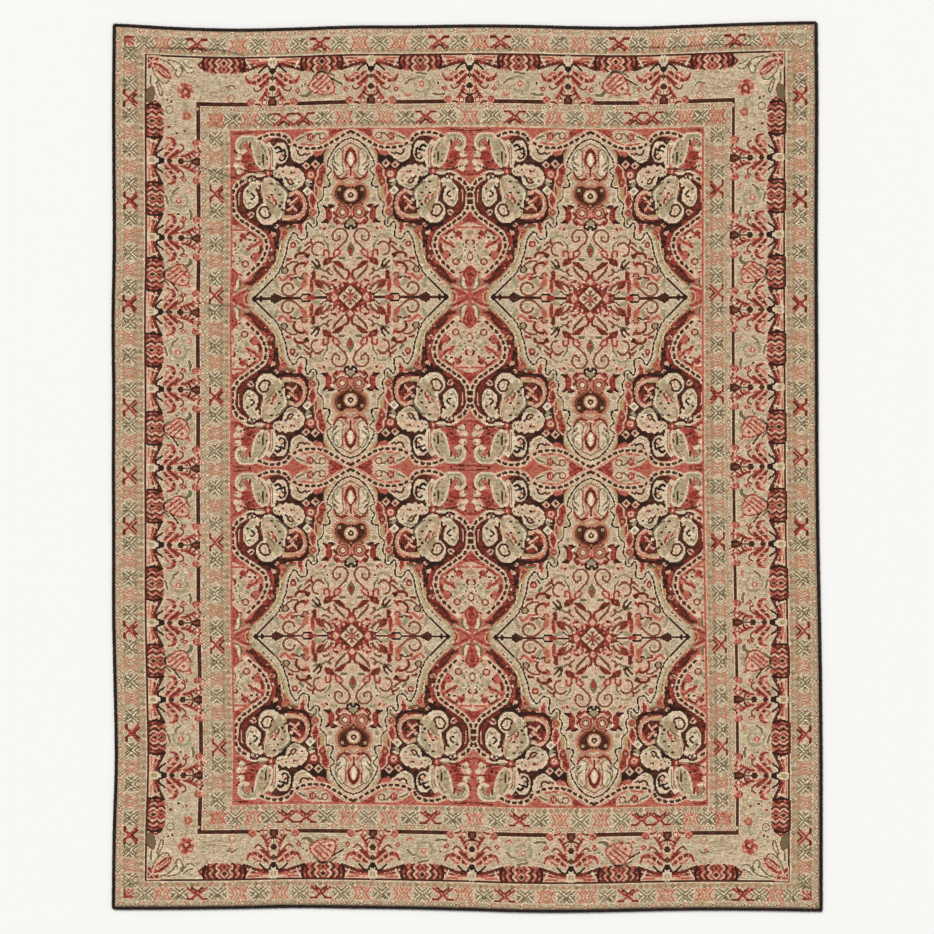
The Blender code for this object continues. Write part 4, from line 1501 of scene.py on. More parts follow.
ROSETTE_AND_STEM: Figures = (
    Line(((22, 169.8), (60, 169.8), (104, 169.8)), BROWN, 2.6),
    Patch(((20.6, 170), (23.6, 166.6), (26.6, 170)), BLACK, straight=True),
    Patch(((27.6, 170), (30, 166.4), (32.6, 170)), BLACK, straight=True),
    Patch(((38, 171), (41, 167.6), (44, 165.6), (48, 167.4), (55.6, 171)), BROWN, BLACK, 1, straight=True),
    Patch(((69, 171), (72, 165.6), (79, 166), (84, 169), (84, 171)), BLACK, straight=True),
    Line(((71.6, 169.6), (77, 169.6)), PINK, 2.2),
    Line(((77.6, 169.6), (83.6, 169.6)), RED, 2.6),
    # The fine rays and stems round the rosette.
    Line(((90.6, 151), (91.6, 148.8), (94, 149.4), (97.6, 152.4)), RUST, 1.8),
    Line(((91.6, 154), (95, 156.6), (98, 160.4), (101.6, 162.4)), RUST, 1.6),
    Line(((88.6, 155.6), (92.6, 160.6), (95.6, 164)), RUST, 1.6),
    Line(((90.6, 163.6), (94, 166.4), (97, 167)), BROWN, 1.6),
    Line(((96.6, 157), (99, 159.6)), MAROON, 1.6),
    Line(((102.8, 139), (104.6, 143.6), (109, 148), (114.4, 153)), RUST, 1.9),
    Line(((115.6, 142), (118.2, 144.6), (117.6, 149), (115.4, 152.6)), RUST, 1.8),
    Line(((97.6, 141.2), (96, 143.6), (98.6, 146), (101, 148.4)), RUST, 1.8),
    # The lacy red petals along the diamond's sides, their pale hearts and dark seeds.
    Patch(((96, 154.6), (100, 153.6), (104, 151), (109, 152.6), (113, 155), (117, 152.6), (121, 150.6),
        (121, 159), (115, 162), (109, 168), (104, 171), (97, 171), (98, 166), (102, 163.6), (103.6, 161),
        (99.6, 158.6)), RED, PINK, 1, straight=True),
    Bead((106.2, 157), 2.6, PINK),
    Seeds(((99.6, 155.6), (110.6, 154.6), (115.6, 154.2), (101.6, 167), (112, 158.6)), PINK, 1.4),
    Seeds(((103.2, 156), (107.6, 153.4), (101.6, 164.4), (108, 160.6)), CREAM, 1.1),
    Bead((104, 160.2), 1.5, BROWN),
    Bead((104.6, 153.4), 1.5, MAROON),
    Bead((109.8, 161.6), 1.4, MAROON),
    Bead((114.6, 157), 1.4, MAROON),
    Line(((108, 165), (112, 163.6)), PINK, 1.4),
    Line(((97, 168), (99.6, 166.6), (100, 171)), MAROON, 2.2),
    Lozenge((104, 168.6), (2.2, 2.4), PINK, MAROON, 1.4),
    # The star diamond, its corner buds and its heart.
    Lozenge((120.5, 170.5), (17, 17), MAROON),
    Lozenge((120.5, 170.5), (12.8, 12.8), CREAM),
    Lozenge((120.5, 170.5), (10.6, 10.6), BEIGE),
    Line(((112.6, 168.6), (117.6, 170.4), (121, 170.4)), RUST, 1.6),
    Line(((114.6, 165), (118.4, 168.4), (121, 170.4)), RUST, 1.7),
    Line(((118.4, 162.8), (120, 166.6), (120.6, 171)), RUST, 1.6),
    Bead((120.5, 170.5), 3, ROSE),
    Lozenge((103.6, 170.5), (4, 4.2), PINK, RED, 2.6),
    Lozenge((103.6, 170.5), (1.4, 1.6), ROSE),
    Lozenge((120.5, 154), (3.8, 4), PINK, RED, 2.4),
    Patch(((117.4, 149.6), (119, 147), (121, 143.6), (121, 151)), RED, straight=True),
    Line(((114.6, 142.6), (118, 145), (118.4, 149)), MAROON, 1.8),
)

QUARTER_FIGURES: Figures = (
    *GROUNDS,
    *MEDALLION_GROUND,
    *SCALLOPS,
    *DARK_DIAMONDS,
    *TOP_SPRAY,
    *LILY,
    *SNAIL,
    *GREAT_PAISLEY,
    *RING_SCROLL,
    *SAW_PAISLEY,
    *CORNER_PAISLEY,
    *LEFT_PAISLEY,
    *EDGE_PALMETTE,
    *CORNER_RIBBONS,
    *KEYHOLE,
    *HEART,
    *MEDALLION_FLOWERS,
    *SIDE_FLOWERS,
    *ROSETTE_AND_STEM,
)


@dataclass(frozen=True)
class Crease:
    """A soft crease or swell of the cloth in metres: its ends in plan, its reach sideways, its height."""

    start: Point
    end: Point
    reach: float
    height: float


CREASES: tuple[Crease, ...] = (
    Crease(start=(-1.1, 1.45), end=(-0.841, 1.45), reach=0.045, height=0.0045),
    Crease(start=(-0.841, 1.45), end=(-0.776, 1.425), reach=0.04, height=0.0035),
    Crease(start=(0.576, 1.454), end=(0.97, 1.446), reach=0.045, height=0.004),
    Crease(start=(-0.905, 1.04), end=(-0.82, 1.014), reach=0.04, height=0.004),
    Crease(start=(-0.865, 0.833), end=(-0.815, 0.829), reach=0.035, height=0.002),
    Crease(start=(-1.116, 0.574), end=(-0.914, 0.555), reach=0.05, height=0.0045),
    Crease(start=(-0.914, 0.555), end=(-0.808, 0.561), reach=0.045, height=0.0035),
    Crease(start=(0.905, 0.829), end=(1.039, 0.918), reach=0.05, height=0.004),
    Crease(start=(0.964, -1.145), end=(1.049, -1.204), reach=0.045, height=0.004),
    Crease(start=(-0.95, 1.3), end=(-0.35, 1.38), reach=0.24, height=0.003),
    Crease(start=(0.45, 1.34), end=(0.9, 1.25), reach=0.22, height=0.0025),
    Crease(start=(-1.02, 0.35), end=(-1, -0.45), reach=0.18, height=0.0025),
    Crease(start=(1.01, 0.25), end=(0.98, -0.7), reach=0.2, height=0.003),
    Crease(start=(0.1, -1.33), end=(0.7, -1.3), reach=0.18, height=0.003),
)


@dataclass
class RugShape:
    """The outline and lie of the rug in metres, with its edges' strays in millimetres at each twelfth."""

    width: float = 2.440
    length: float = 3.050
    cloth_thickness: float = 0.006
    binding_width: float = 0.0115
    binding_thickness: float = 0.0075
    seam_gap: float = 0.0003
    left: tuple[float, ...] = (4, 1, -6, -2, 3, 3, 4, 3, 5, 1, 2, 3, 1)
    right: tuple[float, ...] = (5, 5, 5, 3, -1, -6, -9, -10, -11, -12, -11, -10, -12)
    foot: tuple[float, ...] = (0, 0, -2, -6, -4, -1, 4, 10, 10, 6, 3, 4, 7)
    head: tuple[float, ...] = (2, -9, -15, -12, -5, -4, -1, -2, -7, -8, -1, 6, 10)
    rim_samples: int = 800
    slide: np.ndarray = field(default_factory=lambda: np.zeros(2))

    def wave(self, stations: Sequence[float], along: np.ndarray) -> np.ndarray:
        """Return an edge's stray in metres, on a smooth curve through its stations.

        Args:
            stations: The strays in millimetres at even steps of the edge.
            along: Shares of the edge's length.

        Returns:
            The strays, in metres.
        """
        values = np.asarray(stations, dtype=float)
        last = len(values) - 1
        place = np.clip(along, 0.0, 1.0) * last
        low = np.minimum(place.astype(int), last - 1)
        t = place - low
        start, end = values[low], values[low + 1]
        start_slope = (end - values[np.maximum(low - 1, 0)]) / 2
        end_slope = (values[np.minimum(low + 2, last)] - start) / 2
        return MILLIMETRE * (
            (2 * t ** 3 - 3 * t ** 2 + 1) * start
            + (t ** 3 - 2 * t ** 2 + t) * start_slope
            + (3 * t ** 2 - 2 * t ** 3) * end
            + (t ** 3 - t ** 2) * end_slope
        )

    def plan(self, u: np.ndarray, v: np.ndarray) -> np.ndarray:
        """Return places of the cloth in plan, as rows.

        Args:
            u: Shares of the way across from the left.
            v: Shares of the way along from the foot.

        Returns:
            The places, in metres.
        """
        half_width = self.width / 2 - self.binding_width - self.seam_gap
        half_length = self.length / 2 - self.binding_width - self.seam_gap
        left = -half_width - self.wave(self.left, v)
        right = half_width + self.wave(self.right, v)
        foot = -half_length - self.wave(self.foot, u)
        head = half_length + self.wave(self.head, u)
        return np.column_stack([left + (right - left) * u, foot + (head - foot) * v])

    def lift(self, plan: np.ndarray) -> np.ndarray:
        """Return how far the cloth stands off the floor.

        Args:
            plan: Places in plan, as rows, before the slide.

        Returns:
            The heights, in metres.
        """
        height = np.zeros(len(plan))
        for crease in CREASES:
            start, run = np.asarray(crease.start), np.asarray(crease.end) - np.asarray(crease.start)
            share = np.clip((plan - start) @ run / (run @ run), 0.0, 1.0)
            away = np.hypot(*(plan - start - share[:, None] * run).T)
            bell = crease.height * (1 + np.cos(np.pi * np.minimum(away / crease.reach, 1.0))) / 2
            height = np.maximum(height, bell)
        return height

    def settle(self, node: str) -> None:
        """Slide the shape so that the cloth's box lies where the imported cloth's box does.

        Args:
            node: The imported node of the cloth.
        """
        share = np.linspace(0.0, 1.0, self.rim_samples)
        zero, one = share * 0, share * 0 + 1
        edges = ((zero, share), (one, share), (share, zero), (share, one))
        rim = np.vstack([self.plan(u, v) for u, v in edges])
        low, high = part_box(node)
        self.slide = (np.asarray(low[:2]) + np.asarray(high[:2]) - rim.min(axis=0) - rim.max(axis=0)) / 2


# The Mix node's colour sockets share their names with its other kinds, so they go by number.
MIX_FIRST = 6
MIX_SECOND = 7
MIX_COLOUR = 2

KNOTS_PER_FACE = 4
# Added to a knot's yarn number where painted crease shade darkens the knot.
SHADED_STEP = 32
KNOT_MAP = "Knots"
BAKE_MAP = "OFBake"
REVERSE_MARK = "reverse_side"
UP = Vector((0.0, 0.0, 1.0))


def add_node(
    tree: Tree,
    kind: str,
    settings: dict[str, Any] | None = None,
    inputs: dict[int | str, Any] | None = None,
) -> Node:
    """Add a node to a tree.

    Args:
        tree: The shader or geometry tree.
        kind: The node's type name.
        settings: Its own properties by name.
        inputs: For each socket, by name or number, a plain value or the output that feeds it.

    Returns:
        The new node.
    """
    node = tree.nodes.new(kind)
    for name, value in (settings or {}).items():
        setattr(node, name, value)
    for key, value in (inputs or {}).items():
        if isinstance(value, Socket):
            tree.links.new(value, node.inputs[key])
        else:
            node.inputs[key].default_value = value
    return node


def maths(tree: Tree, operation: str, *values: Any) -> Socket:
    """Return the result of one arithmetic step on sockets or numbers."""
    return add_node(tree, "ShaderNodeMath", {"operation": operation}, dict(enumerate(values))).outputs[0]


def mixed(tree: Tree, share: Socket, first: Any, second: Any) -> Socket:
    """Return a mix of two colours, each a socket or a plain colour.

    Args:
        tree: The shader tree.
        share: How much of the second colour shows.
        first: The first colour.
        second: The second colour.

    Returns:
        The mixed colour.
    """
    inputs = {"Factor": share, MIX_FIRST: first, MIX_SECOND: second}
    return add_node(tree, "ShaderNodeMix", {"data_type": "RGBA"}, inputs).outputs[MIX_COLOUR]


def new_material(name: str, **settings: float) -> tuple[bpy.types.Material, Tree, Node]:
    """Return a new material with its tree and its Principled shader.

    Args:
        name: The material's name.
        settings: The shader's plain values by socket, with underscores for spaces.

    Returns:
        The material, its tree and its shader.
    """
    material = bpy.data.materials.new(name)
    material.use_nodes = True
    shader = material.node_tree.nodes["Principled BSDF"]
    for socket, value in settings.items():
        shader.inputs[socket.replace("_", " ")].default_value = value
    return material, material.node_tree, shader


def row_name(row: int) -> str:
    """Return the name of the attribute that holds one row of a face's knots."""
    return f"knot_row_{row}"


@dataclass(frozen=True)
class KnottedWoolPile:
    """Hand-knotted wool, its pile worn short: matt, each knot a soft dome of its own shade, with streaks.

    Shades are shares of the colour's brightness, reliefs are in metres, and the other scales are per knot.
    """

    roughness: float = 0.92
    sheen: float = 0.12
    sheen_roughness: float = 0.5
    specular: float = 0.2
    knot_shade: float = 0.20
    streak_shade: float = 0.16
    streak_scale: Triple = (0.03, 0.35, 1.0)
    streak_detail: float = 2.0
    mottle_shade: float = 0.12
    mottle_scale: float = 0.22
    mottle_detail: float = 3.0
    # Painted shade: how much darker the knots along the creases' lines are made.
    crease_shade: float = 0.55
    warm_tint: Colour = (1.10, 0.94, 0.93, 1.0)
    cool_tint: Colour = (0.90, 1.05, 1.02, 1.0)
    reverse_colour: str = "#9A8468"
    reverse_fade: float = 0.35
    knot_relief: float = 0.0008
    knot_strength: float = 0.7
    fibre_relief: float = 0.0004
    fibre_strength: float = 0.6
    fibres_per_metre: float = 1400.0
    fibre_detail: float = 2.0

    def material(self) -> bpy.types.Material:
        """Build the pile's material, which reads the knot plan from the faces' attributes.

        Returns:
            The pile's material.
        """
        material, tree, shader = new_material(
            "wool_pile_hand_knotted", Roughness=self.roughness, Sheen_Weight=self.sheen,
            Sheen_Roughness=self.sheen_roughness, Specular_IOR_Level=self.specular)
        knots = add_node(tree, "ShaderNodeUVMap", {"uv_map": KNOT_MAP}).outputs["UV"]
        place = add_node(tree, "ShaderNodeSeparateXYZ", inputs={0: knots})
        value = self.knot_value(tree, place)
        # Values of SHADED_STEP or more mark knots darkened by painted crease shade.
        shaded = maths(tree, "FLOOR", maths(tree, "DIVIDE", value, SHADED_STEP))
        yarn = maths(tree, "SUBTRACT", value, maths(tree, "MULTIPLY", shaded, SHADED_STEP))
        coloured = self.varied(tree, self.yarn_colour(tree, yarn), knots, shaded)
        tree.links.new(coloured, shader.inputs["Base Color"])
        tree.links.new(self.relief(tree, place), shader.inputs["Normal"])
        return material

    def yarn_colour(self, tree: Tree, yarn: Socket) -> Socket:
        """Return the plain colour of a yarn, from a ramp with one step for each.

        Args:
            tree: The material's tree.
            yarn: The yarn's number.

        Returns:
            The colour.
        """
        share = maths(tree, "DIVIDE", maths(tree, "ADD", yarn, 0.5), len(Yarn))
        ramp = add_node(tree, "ShaderNodeValToRGB", inputs={0: share})
        ramp.color_ramp.interpolation = "CONSTANT"
        stops = ramp.color_ramp.elements
        for number in Yarn:
            stop = stops[number] if number < 2 else stops.new(number / len(Yarn))
            stop.position = number / len(Yarn)
            stop.color = linear(YARN_COLOURS[number])
        return ramp.outputs["Color"]

    def knot_value(self, tree: Tree, place: Node) -> Socket:
        """Pick the value of the knot at a place out of the sixteen that its face holds.

        Args:
            tree: The material's tree.
            place: The knot map's coordinates, separated.

        Returns:
            The yarn's number, with a step added where painted crease shade darkens the knot.
        """
        chosen = []
        for axis in ("X", "Y"):
            within = maths(tree, "FLOORED_MODULO", place.outputs[axis], KNOTS_PER_FACE)
            within = maths(tree, "FLOOR", within)
            chosen.append([maths(tree, "COMPARE", within, step, 0.5) for step in range(KNOTS_PER_FACE)])
        columns, rows = chosen
        first_three = add_node(tree, "ShaderNodeCombineXYZ", inputs=dict(enumerate(columns[:3]))).outputs[0]
        total: Socket | float = 0.0
        for row in range(KNOTS_PER_FACE):
            held = add_node(tree, "ShaderNodeAttribute", {"attribute_name": row_name(row)})
            vectors = {0: held.outputs["Vector"], 1: first_three}
            dot = add_node(tree, "ShaderNodeVectorMath", {"operation": "DOT_PRODUCT"}, vectors)
            value = maths(tree, "MULTIPLY_ADD", held.outputs["Alpha"], columns[3], dot.outputs["Value"])
            total = maths(tree, "MULTIPLY_ADD", value, rows[row], total)
        return maths(tree, "ROUND", total)

    def varied(self, tree: Tree, colour: Socket, knots: Socket, shaded: Socket) -> Socket:
        """Vary the yarns' colours: knot by knot, in streaks across the rug, in soft patches, on the back.

        Args:
            tree: The material's tree.
            colour: The plain yarn colours.
            knots: The knot map.
            shaded: One where a knot lies in a crease's painted shade.

        Returns:
            The varied colour.
        """
        each = add_node(tree, "ShaderNodeVectorMath", {"operation": "FLOOR"}, {0: knots}).outputs[0]
        own = add_node(tree, "ShaderNodeTexWhiteNoise", {"noise_dimensions": "2D"}, {"Vector": each})
        stretched = add_node(tree, "ShaderNodeMapping", inputs={0: knots, "Scale": self.streak_scale})
        streak = self.noise(tree, stretched.outputs[0], 1.0, self.streak_detail)
        mottle = self.noise(tree, knots, self.mottle_scale, self.mottle_detail)
        shade: Socket | float = 1.0
        sources = (own.outputs["Value"], streak, mottle)
        for source, amount in zip(sources, (self.knot_shade, self.streak_shade, self.mottle_shade)):
            shade = maths(tree, "MULTIPLY_ADD", maths(tree, "SUBTRACT", source, 0.5), amount * 2, shade)
        # Painted shade: the knots along the creases' lines are darkened by crease_shade.
        unshaded = maths(tree, "SUBTRACT", 1.0, maths(tree, "MULTIPLY", shaded, self.crease_shade))
        lit = add_node(tree, "ShaderNodeVectorMath", {"operation": "SCALE"}, {
            0: colour, "Scale": maths(tree, "MULTIPLY", shade, unshaded)})
        tinted = add_node(tree, "ShaderNodeVectorMath", {"operation": "MULTIPLY"}, {
            0: lit.outputs[0], 1: mixed(tree, mottle, self.warm_tint, self.cool_tint)})
        back = add_node(tree, "ShaderNodeAttribute", {"attribute_name": REVERSE_MARK}).outputs["Fac"]
        faded = maths(tree, "MULTIPLY", back, self.reverse_fade)
        return mixed(tree, faded, tinted.outputs[0], linear(self.reverse_colour))

    def noise(self, tree: Tree, place: Socket, scale: float, detail: float) -> Socket:
        """Return a flat noise.

        Args:
            tree: The material's tree.
            place: Where it is read.
            scale: How often it changes.
            detail: How many finer layers it has.

        Returns:
            The noise, from zero to one.
        """
        inputs = {"Vector": place, "Scale": scale, "Detail": detail}
        return add_node(tree, "ShaderNodeTexNoise", {"noise_dimensions": "2D"}, inputs).outputs["Fac"]

    def relief(self, tree: Tree, place: Node) -> Socket:
        """Return the normal of a pile whose knots stand as soft domes with loose fibres on them.

        Args:
            tree: The material's tree.
            place: The knot map's coordinates, separated.

        Returns:
            The normal.
        """
        domes = []
        for axis in ("X", "Y"):
            turn = maths(tree, "MULTIPLY", maths(tree, "FRACT", place.outputs[axis]), math.pi)
            domes.append(maths(tree, "SINE", turn))
        dome = maths(tree, "SQRT", maths(tree, "MULTIPLY", *domes))
        own_space = add_node(tree, "ShaderNodeTexCoord").outputs["Object"]
        fibre = add_node(tree, "ShaderNodeTexNoise", inputs={
            "Vector": own_space, "Scale": self.fibres_per_metre, "Detail": self.fibre_detail})
        domed = add_node(tree, "ShaderNodeBump", inputs={
            "Strength": self.knot_strength, "Distance": self.knot_relief, "Height": dome})
        return add_node(tree, "ShaderNodeBump", inputs={
            "Strength": self.fibre_strength, "Distance": self.fibre_relief, "Height": fibre.outputs["Fac"],
            "Normal": domed.outputs[0]}).outputs[0]


@dataclass(frozen=True)
class OvercastWool:
    """Near-black wool yarn sewn over the rug's edge: matt, and a little lighter where it is rubbed."""

    colour: str = "#1C0E0B"
    rubbed_colour: str = "#3A2219"
    rub_starts: float = 0.45
    rub_ends: float = 0.75
    patches_per_metre: float = 45.0
    patch_detail: float = 4.0
    roughness: float = 0.9
    sheen: float = 0.1
    specular: float = 0.25
    ply: float = 0.0011
    ply_relief: float = 0.0005
    ply_strength: float = 0.6
    ply_detail: float = 2.0

    def material(self) -> bpy.types.Material:
        """Build the binding yarn's material on Object coordinates.

        Returns:
            The yarn's material.
        """
        material, tree, shader = new_material(
            "wool_yarn_overcast_dark", Roughness=self.roughness, Sheen_Weight=self.sheen,
            Specular_IOR_Level=self.specular)
        own_space = add_node(tree, "ShaderNodeTexCoord").outputs["Object"]
        patch = add_node(tree, "ShaderNodeTexNoise", inputs={
            "Vector": own_space, "Scale": self.patches_per_metre, "Detail": self.patch_detail})
        fine = add_node(tree, "ShaderNodeTexNoise", inputs={
            "Vector": own_space, "Scale": 1 / self.ply, "Detail": self.ply_detail})
        rubbed = add_node(tree, "ShaderNodeMapRange", inputs={
            0: patch.outputs["Fac"], 1: self.rub_starts, 2: self.rub_ends})
        colour = mixed(tree, rubbed.outputs[0], linear(self.colour), linear(self.rubbed_colour))
        bump = add_node(tree, "ShaderNodeBump", inputs={
            "Strength": self.ply_strength, "Distance": self.ply_relief, "Height": fine.outputs["Fac"]})
        tree.links.new(colour, shader.inputs["Base Color"])
        tree.links.new(bump.outputs[0], shader.inputs["Normal"])
        return material


def new_piece(name: str, mesh: bpy.types.Mesh) -> bpy.types.Object:
    """Put a mesh into the scene as an object at the origin.

    Args:
        name: The object's name.
        mesh: What it shows.

    Returns:
        The object.
    """
    piece = bpy.data.objects.new(name, mesh)
    bpy.context.scene.collection.objects.link(piece)
    return piece


# The wools of each ground's scatter with their shares, from its lowest level up.
SPECKLES: dict[Yarn, tuple[tuple[Yarn, float], ...]] = {
    BEIGE: (
        (SAND, 0.13), (BEIGE, 0.22), (SAGE, 0.08), (BEIGE, 0.26), (PINK, 0.07), (BEIGE, 0.1), (CREAM, 0.14),
    ),
    BLUSH: ((SAND, 0.08), (BLUSH, 0.3), (SAGE, 0.06), (BLUSH, 0.2), (PINK, 0.2), (CREAM, 0.16)),
    CREAM: ((BEIGE, 0.2), (CREAM, 0.66), (WHITE, 0.14)),
    MOSS: ((SAND, 0.14), (MOSS, 0.6), (SAGE, 0.08), (BEIGE, 0.18)),
    PINK: ((SALMON, 0.12), (PINK, 0.7), (CREAM, 0.18)),
    ROSE: ((RED, 0.12), (ROSE, 0.72), (SALMON, 0.16)),
    RED: ((MAROON, 0.18), (RED, 0.64), (ROSE, 0.18)),
    MAROON: ((BROWN, 0.2), (MAROON, 0.64), (RED, 0.16)),
    BROWN: ((BLACK, 0.3), (BROWN, 0.6), (MAROON, 0.1)),
}

# Where the folds of the cloth stand up, as thin lines on the plan: shade is painted into the knots along
# them.
CREASE_SHADE_LINES: tuple[Stroke, ...] = (
    ((30, 17), (35, 19.5), (60, 19), (93, 19), (112, 20), (130, 25)),
    ((517, 18), (560, 19.4), (600, 18), (640, 20)),
    ((86, 137), (98, 141), (117, 147), (134, 151)),
    ((89, 272), (100, 275.6), (117, 276)),
    ((4, 274), (20, 273.6)),
    ((88, 201), (98, 199)),
    ((620, 200), (616, 205), (610, 212)),
)


@dataclass
class RugCloth:
    """The knotted sheet: a closed thin cloth on its solid's folds, whose faces each carry sixteen knots."""

    shape: RugShape
    name: str = "rug_cloth_pile"
    columns: int = 176
    rows: int = 220
    edge_wear: float = 0.0012
    crease_shade_width: float = 1.4
    bake_upper_start: float = 0.05
    bake_lower_end: float = 0.04
    seed: int = 11

    def build(self) -> bpy.types.Object:
        """Build the sheet and give it its knots and its finish.

        Returns:
            The dressed cloth.
        """
        mesh = self.sheet_mesh()
        self.map_knots(mesh)
        self.set_knots(mesh, self.knot_plan())
        mesh.materials.append(KnottedWoolPile().material())
        mesh.shade_smooth()
        return new_piece(self.name, mesh)

    def knot_plan(self) -> np.ndarray:
        """Draw the whole pattern, speckle its grounds and return it with painted crease shade added.

        Returns:
            The knots' values, row by row down the rug.
        """
        chart = Chart(self.columns * KNOTS_PER_FACE, self.rows * KNOTS_PER_FACE)
        BorderPattern(chart).draw()
        FieldPattern(chart).draw()
        for ground in (BEIGE, BLUSH):
            chart.outline((RED, MAROON, ROSE), ground, PINK)
            chart.outline((BROWN, BLACK, OLIVE, RUST), ground, CREAM)
        rng = np.random.default_rng(self.seed)
        for ground, others in SPECKLES.items():
            chart.speckle(ground, others, rng)
        # Painted shade: the knots along the crease lines get SHADED_STEP added, and the pile darkens them.
        marks = Chart(chart.columns, chart.rows, CREAM)
        draw_all([Line(path, BLACK, self.crease_shade_width) for path in CREASE_SHADE_LINES], Pen(marks))
        return chart.knots + SHADED_STEP * (marks.knots == int(BLACK)).astype(float)

    def sheet_mesh(self) -> bpy.types.Mesh:
        """Build the upper and the lower face of the cloth and close them round the rim.

        Returns:
            The cloth's mesh: its upper faces, its lower ones and its rim.
        """
        u, v = np.meshgrid(np.linspace(0, 1, self.columns + 1), np.linspace(1, 0, self.rows + 1))
        plan = self.shape.plan(u.ravel(), v.ravel()) + self.shape.slide
        low = self.shape.lift(plan - self.shape.slide)
        on_rim = ((u == 0) | (u == 1) | (v == 0) | (v == 1)).ravel()
        high = low + self.shape.cloth_thickness - self.edge_wear * on_rim
        count = len(plan)
        points = np.vstack([np.column_stack([plan, high]), np.column_stack([plan, low])])
        numbers = np.arange(count).reshape(self.rows + 1, self.columns + 1)
        corners = (numbers[1:, :-1], numbers[1:, 1:], numbers[:-1, 1:], numbers[:-1, :-1])
        upper = np.stack([corner.ravel() for corner in corners], axis=1)
        lower = upper[:, ::-1] + count
        ring = np.concatenate([numbers[-1, :-1], numbers[:0:-1, -1], numbers[0, :0:-1], numbers[:-1, 0]])
        following = np.roll(ring, -1)
        rim = np.stack([ring + count, following + count, following, ring], axis=1)
        mesh = bpy.data.meshes.new(self.name)
        mesh.from_pydata(points.tolist(), [], np.vstack([upper, lower, rim]).tolist())
        return mesh

    def map_knots(self, mesh: bpy.types.Mesh) -> None:
        """Lay the knot map and the bake map on the cloth, the upper face over nearly all of the bake map.

        Args:
            mesh: The cloth's mesh, as sheet_mesh leaves it.
        """
        corner_points = np.zeros(len(mesh.loops), dtype=int)
        mesh.loops.foreach_get("vertex_index", corner_points)
        row, column = np.divmod(corner_points % ((self.columns + 1) * (self.rows + 1)), self.columns + 1)
        knots = np.column_stack([column, row]).astype(float) * KNOTS_PER_FACE
        share = np.column_stack([column / self.columns, 1 - row / self.rows])
        on_upper = np.arange(len(corner_points)) // 4 < self.columns * self.rows
        upper = share * (1.0, 1 - self.bake_upper_start) + (0.0, self.bake_upper_start)
        bake = np.where(on_upper[:, None], upper, share * (1.0, self.bake_lower_end))
        for name, values in ((KNOT_MAP, knots), (BAKE_MAP, bake)):
            layer = mesh.uv_layers.new(name=name)
            layer.data.foreach_set("uv", values.astype(np.float32).ravel())
        mesh.uv_layers[KNOT_MAP].active_render = True

    def set_knots(self, mesh: bpy.types.Mesh, plan: np.ndarray) -> None:
        """Give each face of the cloth the yarns of its sixteen knots, in four attributes of four.

        Args:
            mesh: The cloth's mesh.
            plan: The yarn numbers, row by row down the rug.
        """
        faces = self.columns * self.rows
        step = KNOTS_PER_FACE
        blocks = plan.reshape(self.rows, step, self.columns, step).transpose(0, 2, 1, 3)
        blocks = blocks.reshape(faces, step, step)
        rim_faces = len(mesh.polygons) - 2 * faces
        rim = np.full((rim_faces, step, step), float(SAND))
        values = np.concatenate([blocks, blocks, rim])
        for row in range(step):
            held = mesh.attributes.new(row_name(row), "FLOAT_COLOR", "FACE")
            held.data.foreach_set("color", values[:, row].astype(np.float32).ravel())
        mark = mesh.attributes.new(REVERSE_MARK, "FLOAT", "FACE")
        reverse = np.concatenate([np.zeros(faces), np.ones(faces + rim_faces)])
        mark.data.foreach_set("value", reverse.astype(np.float32))


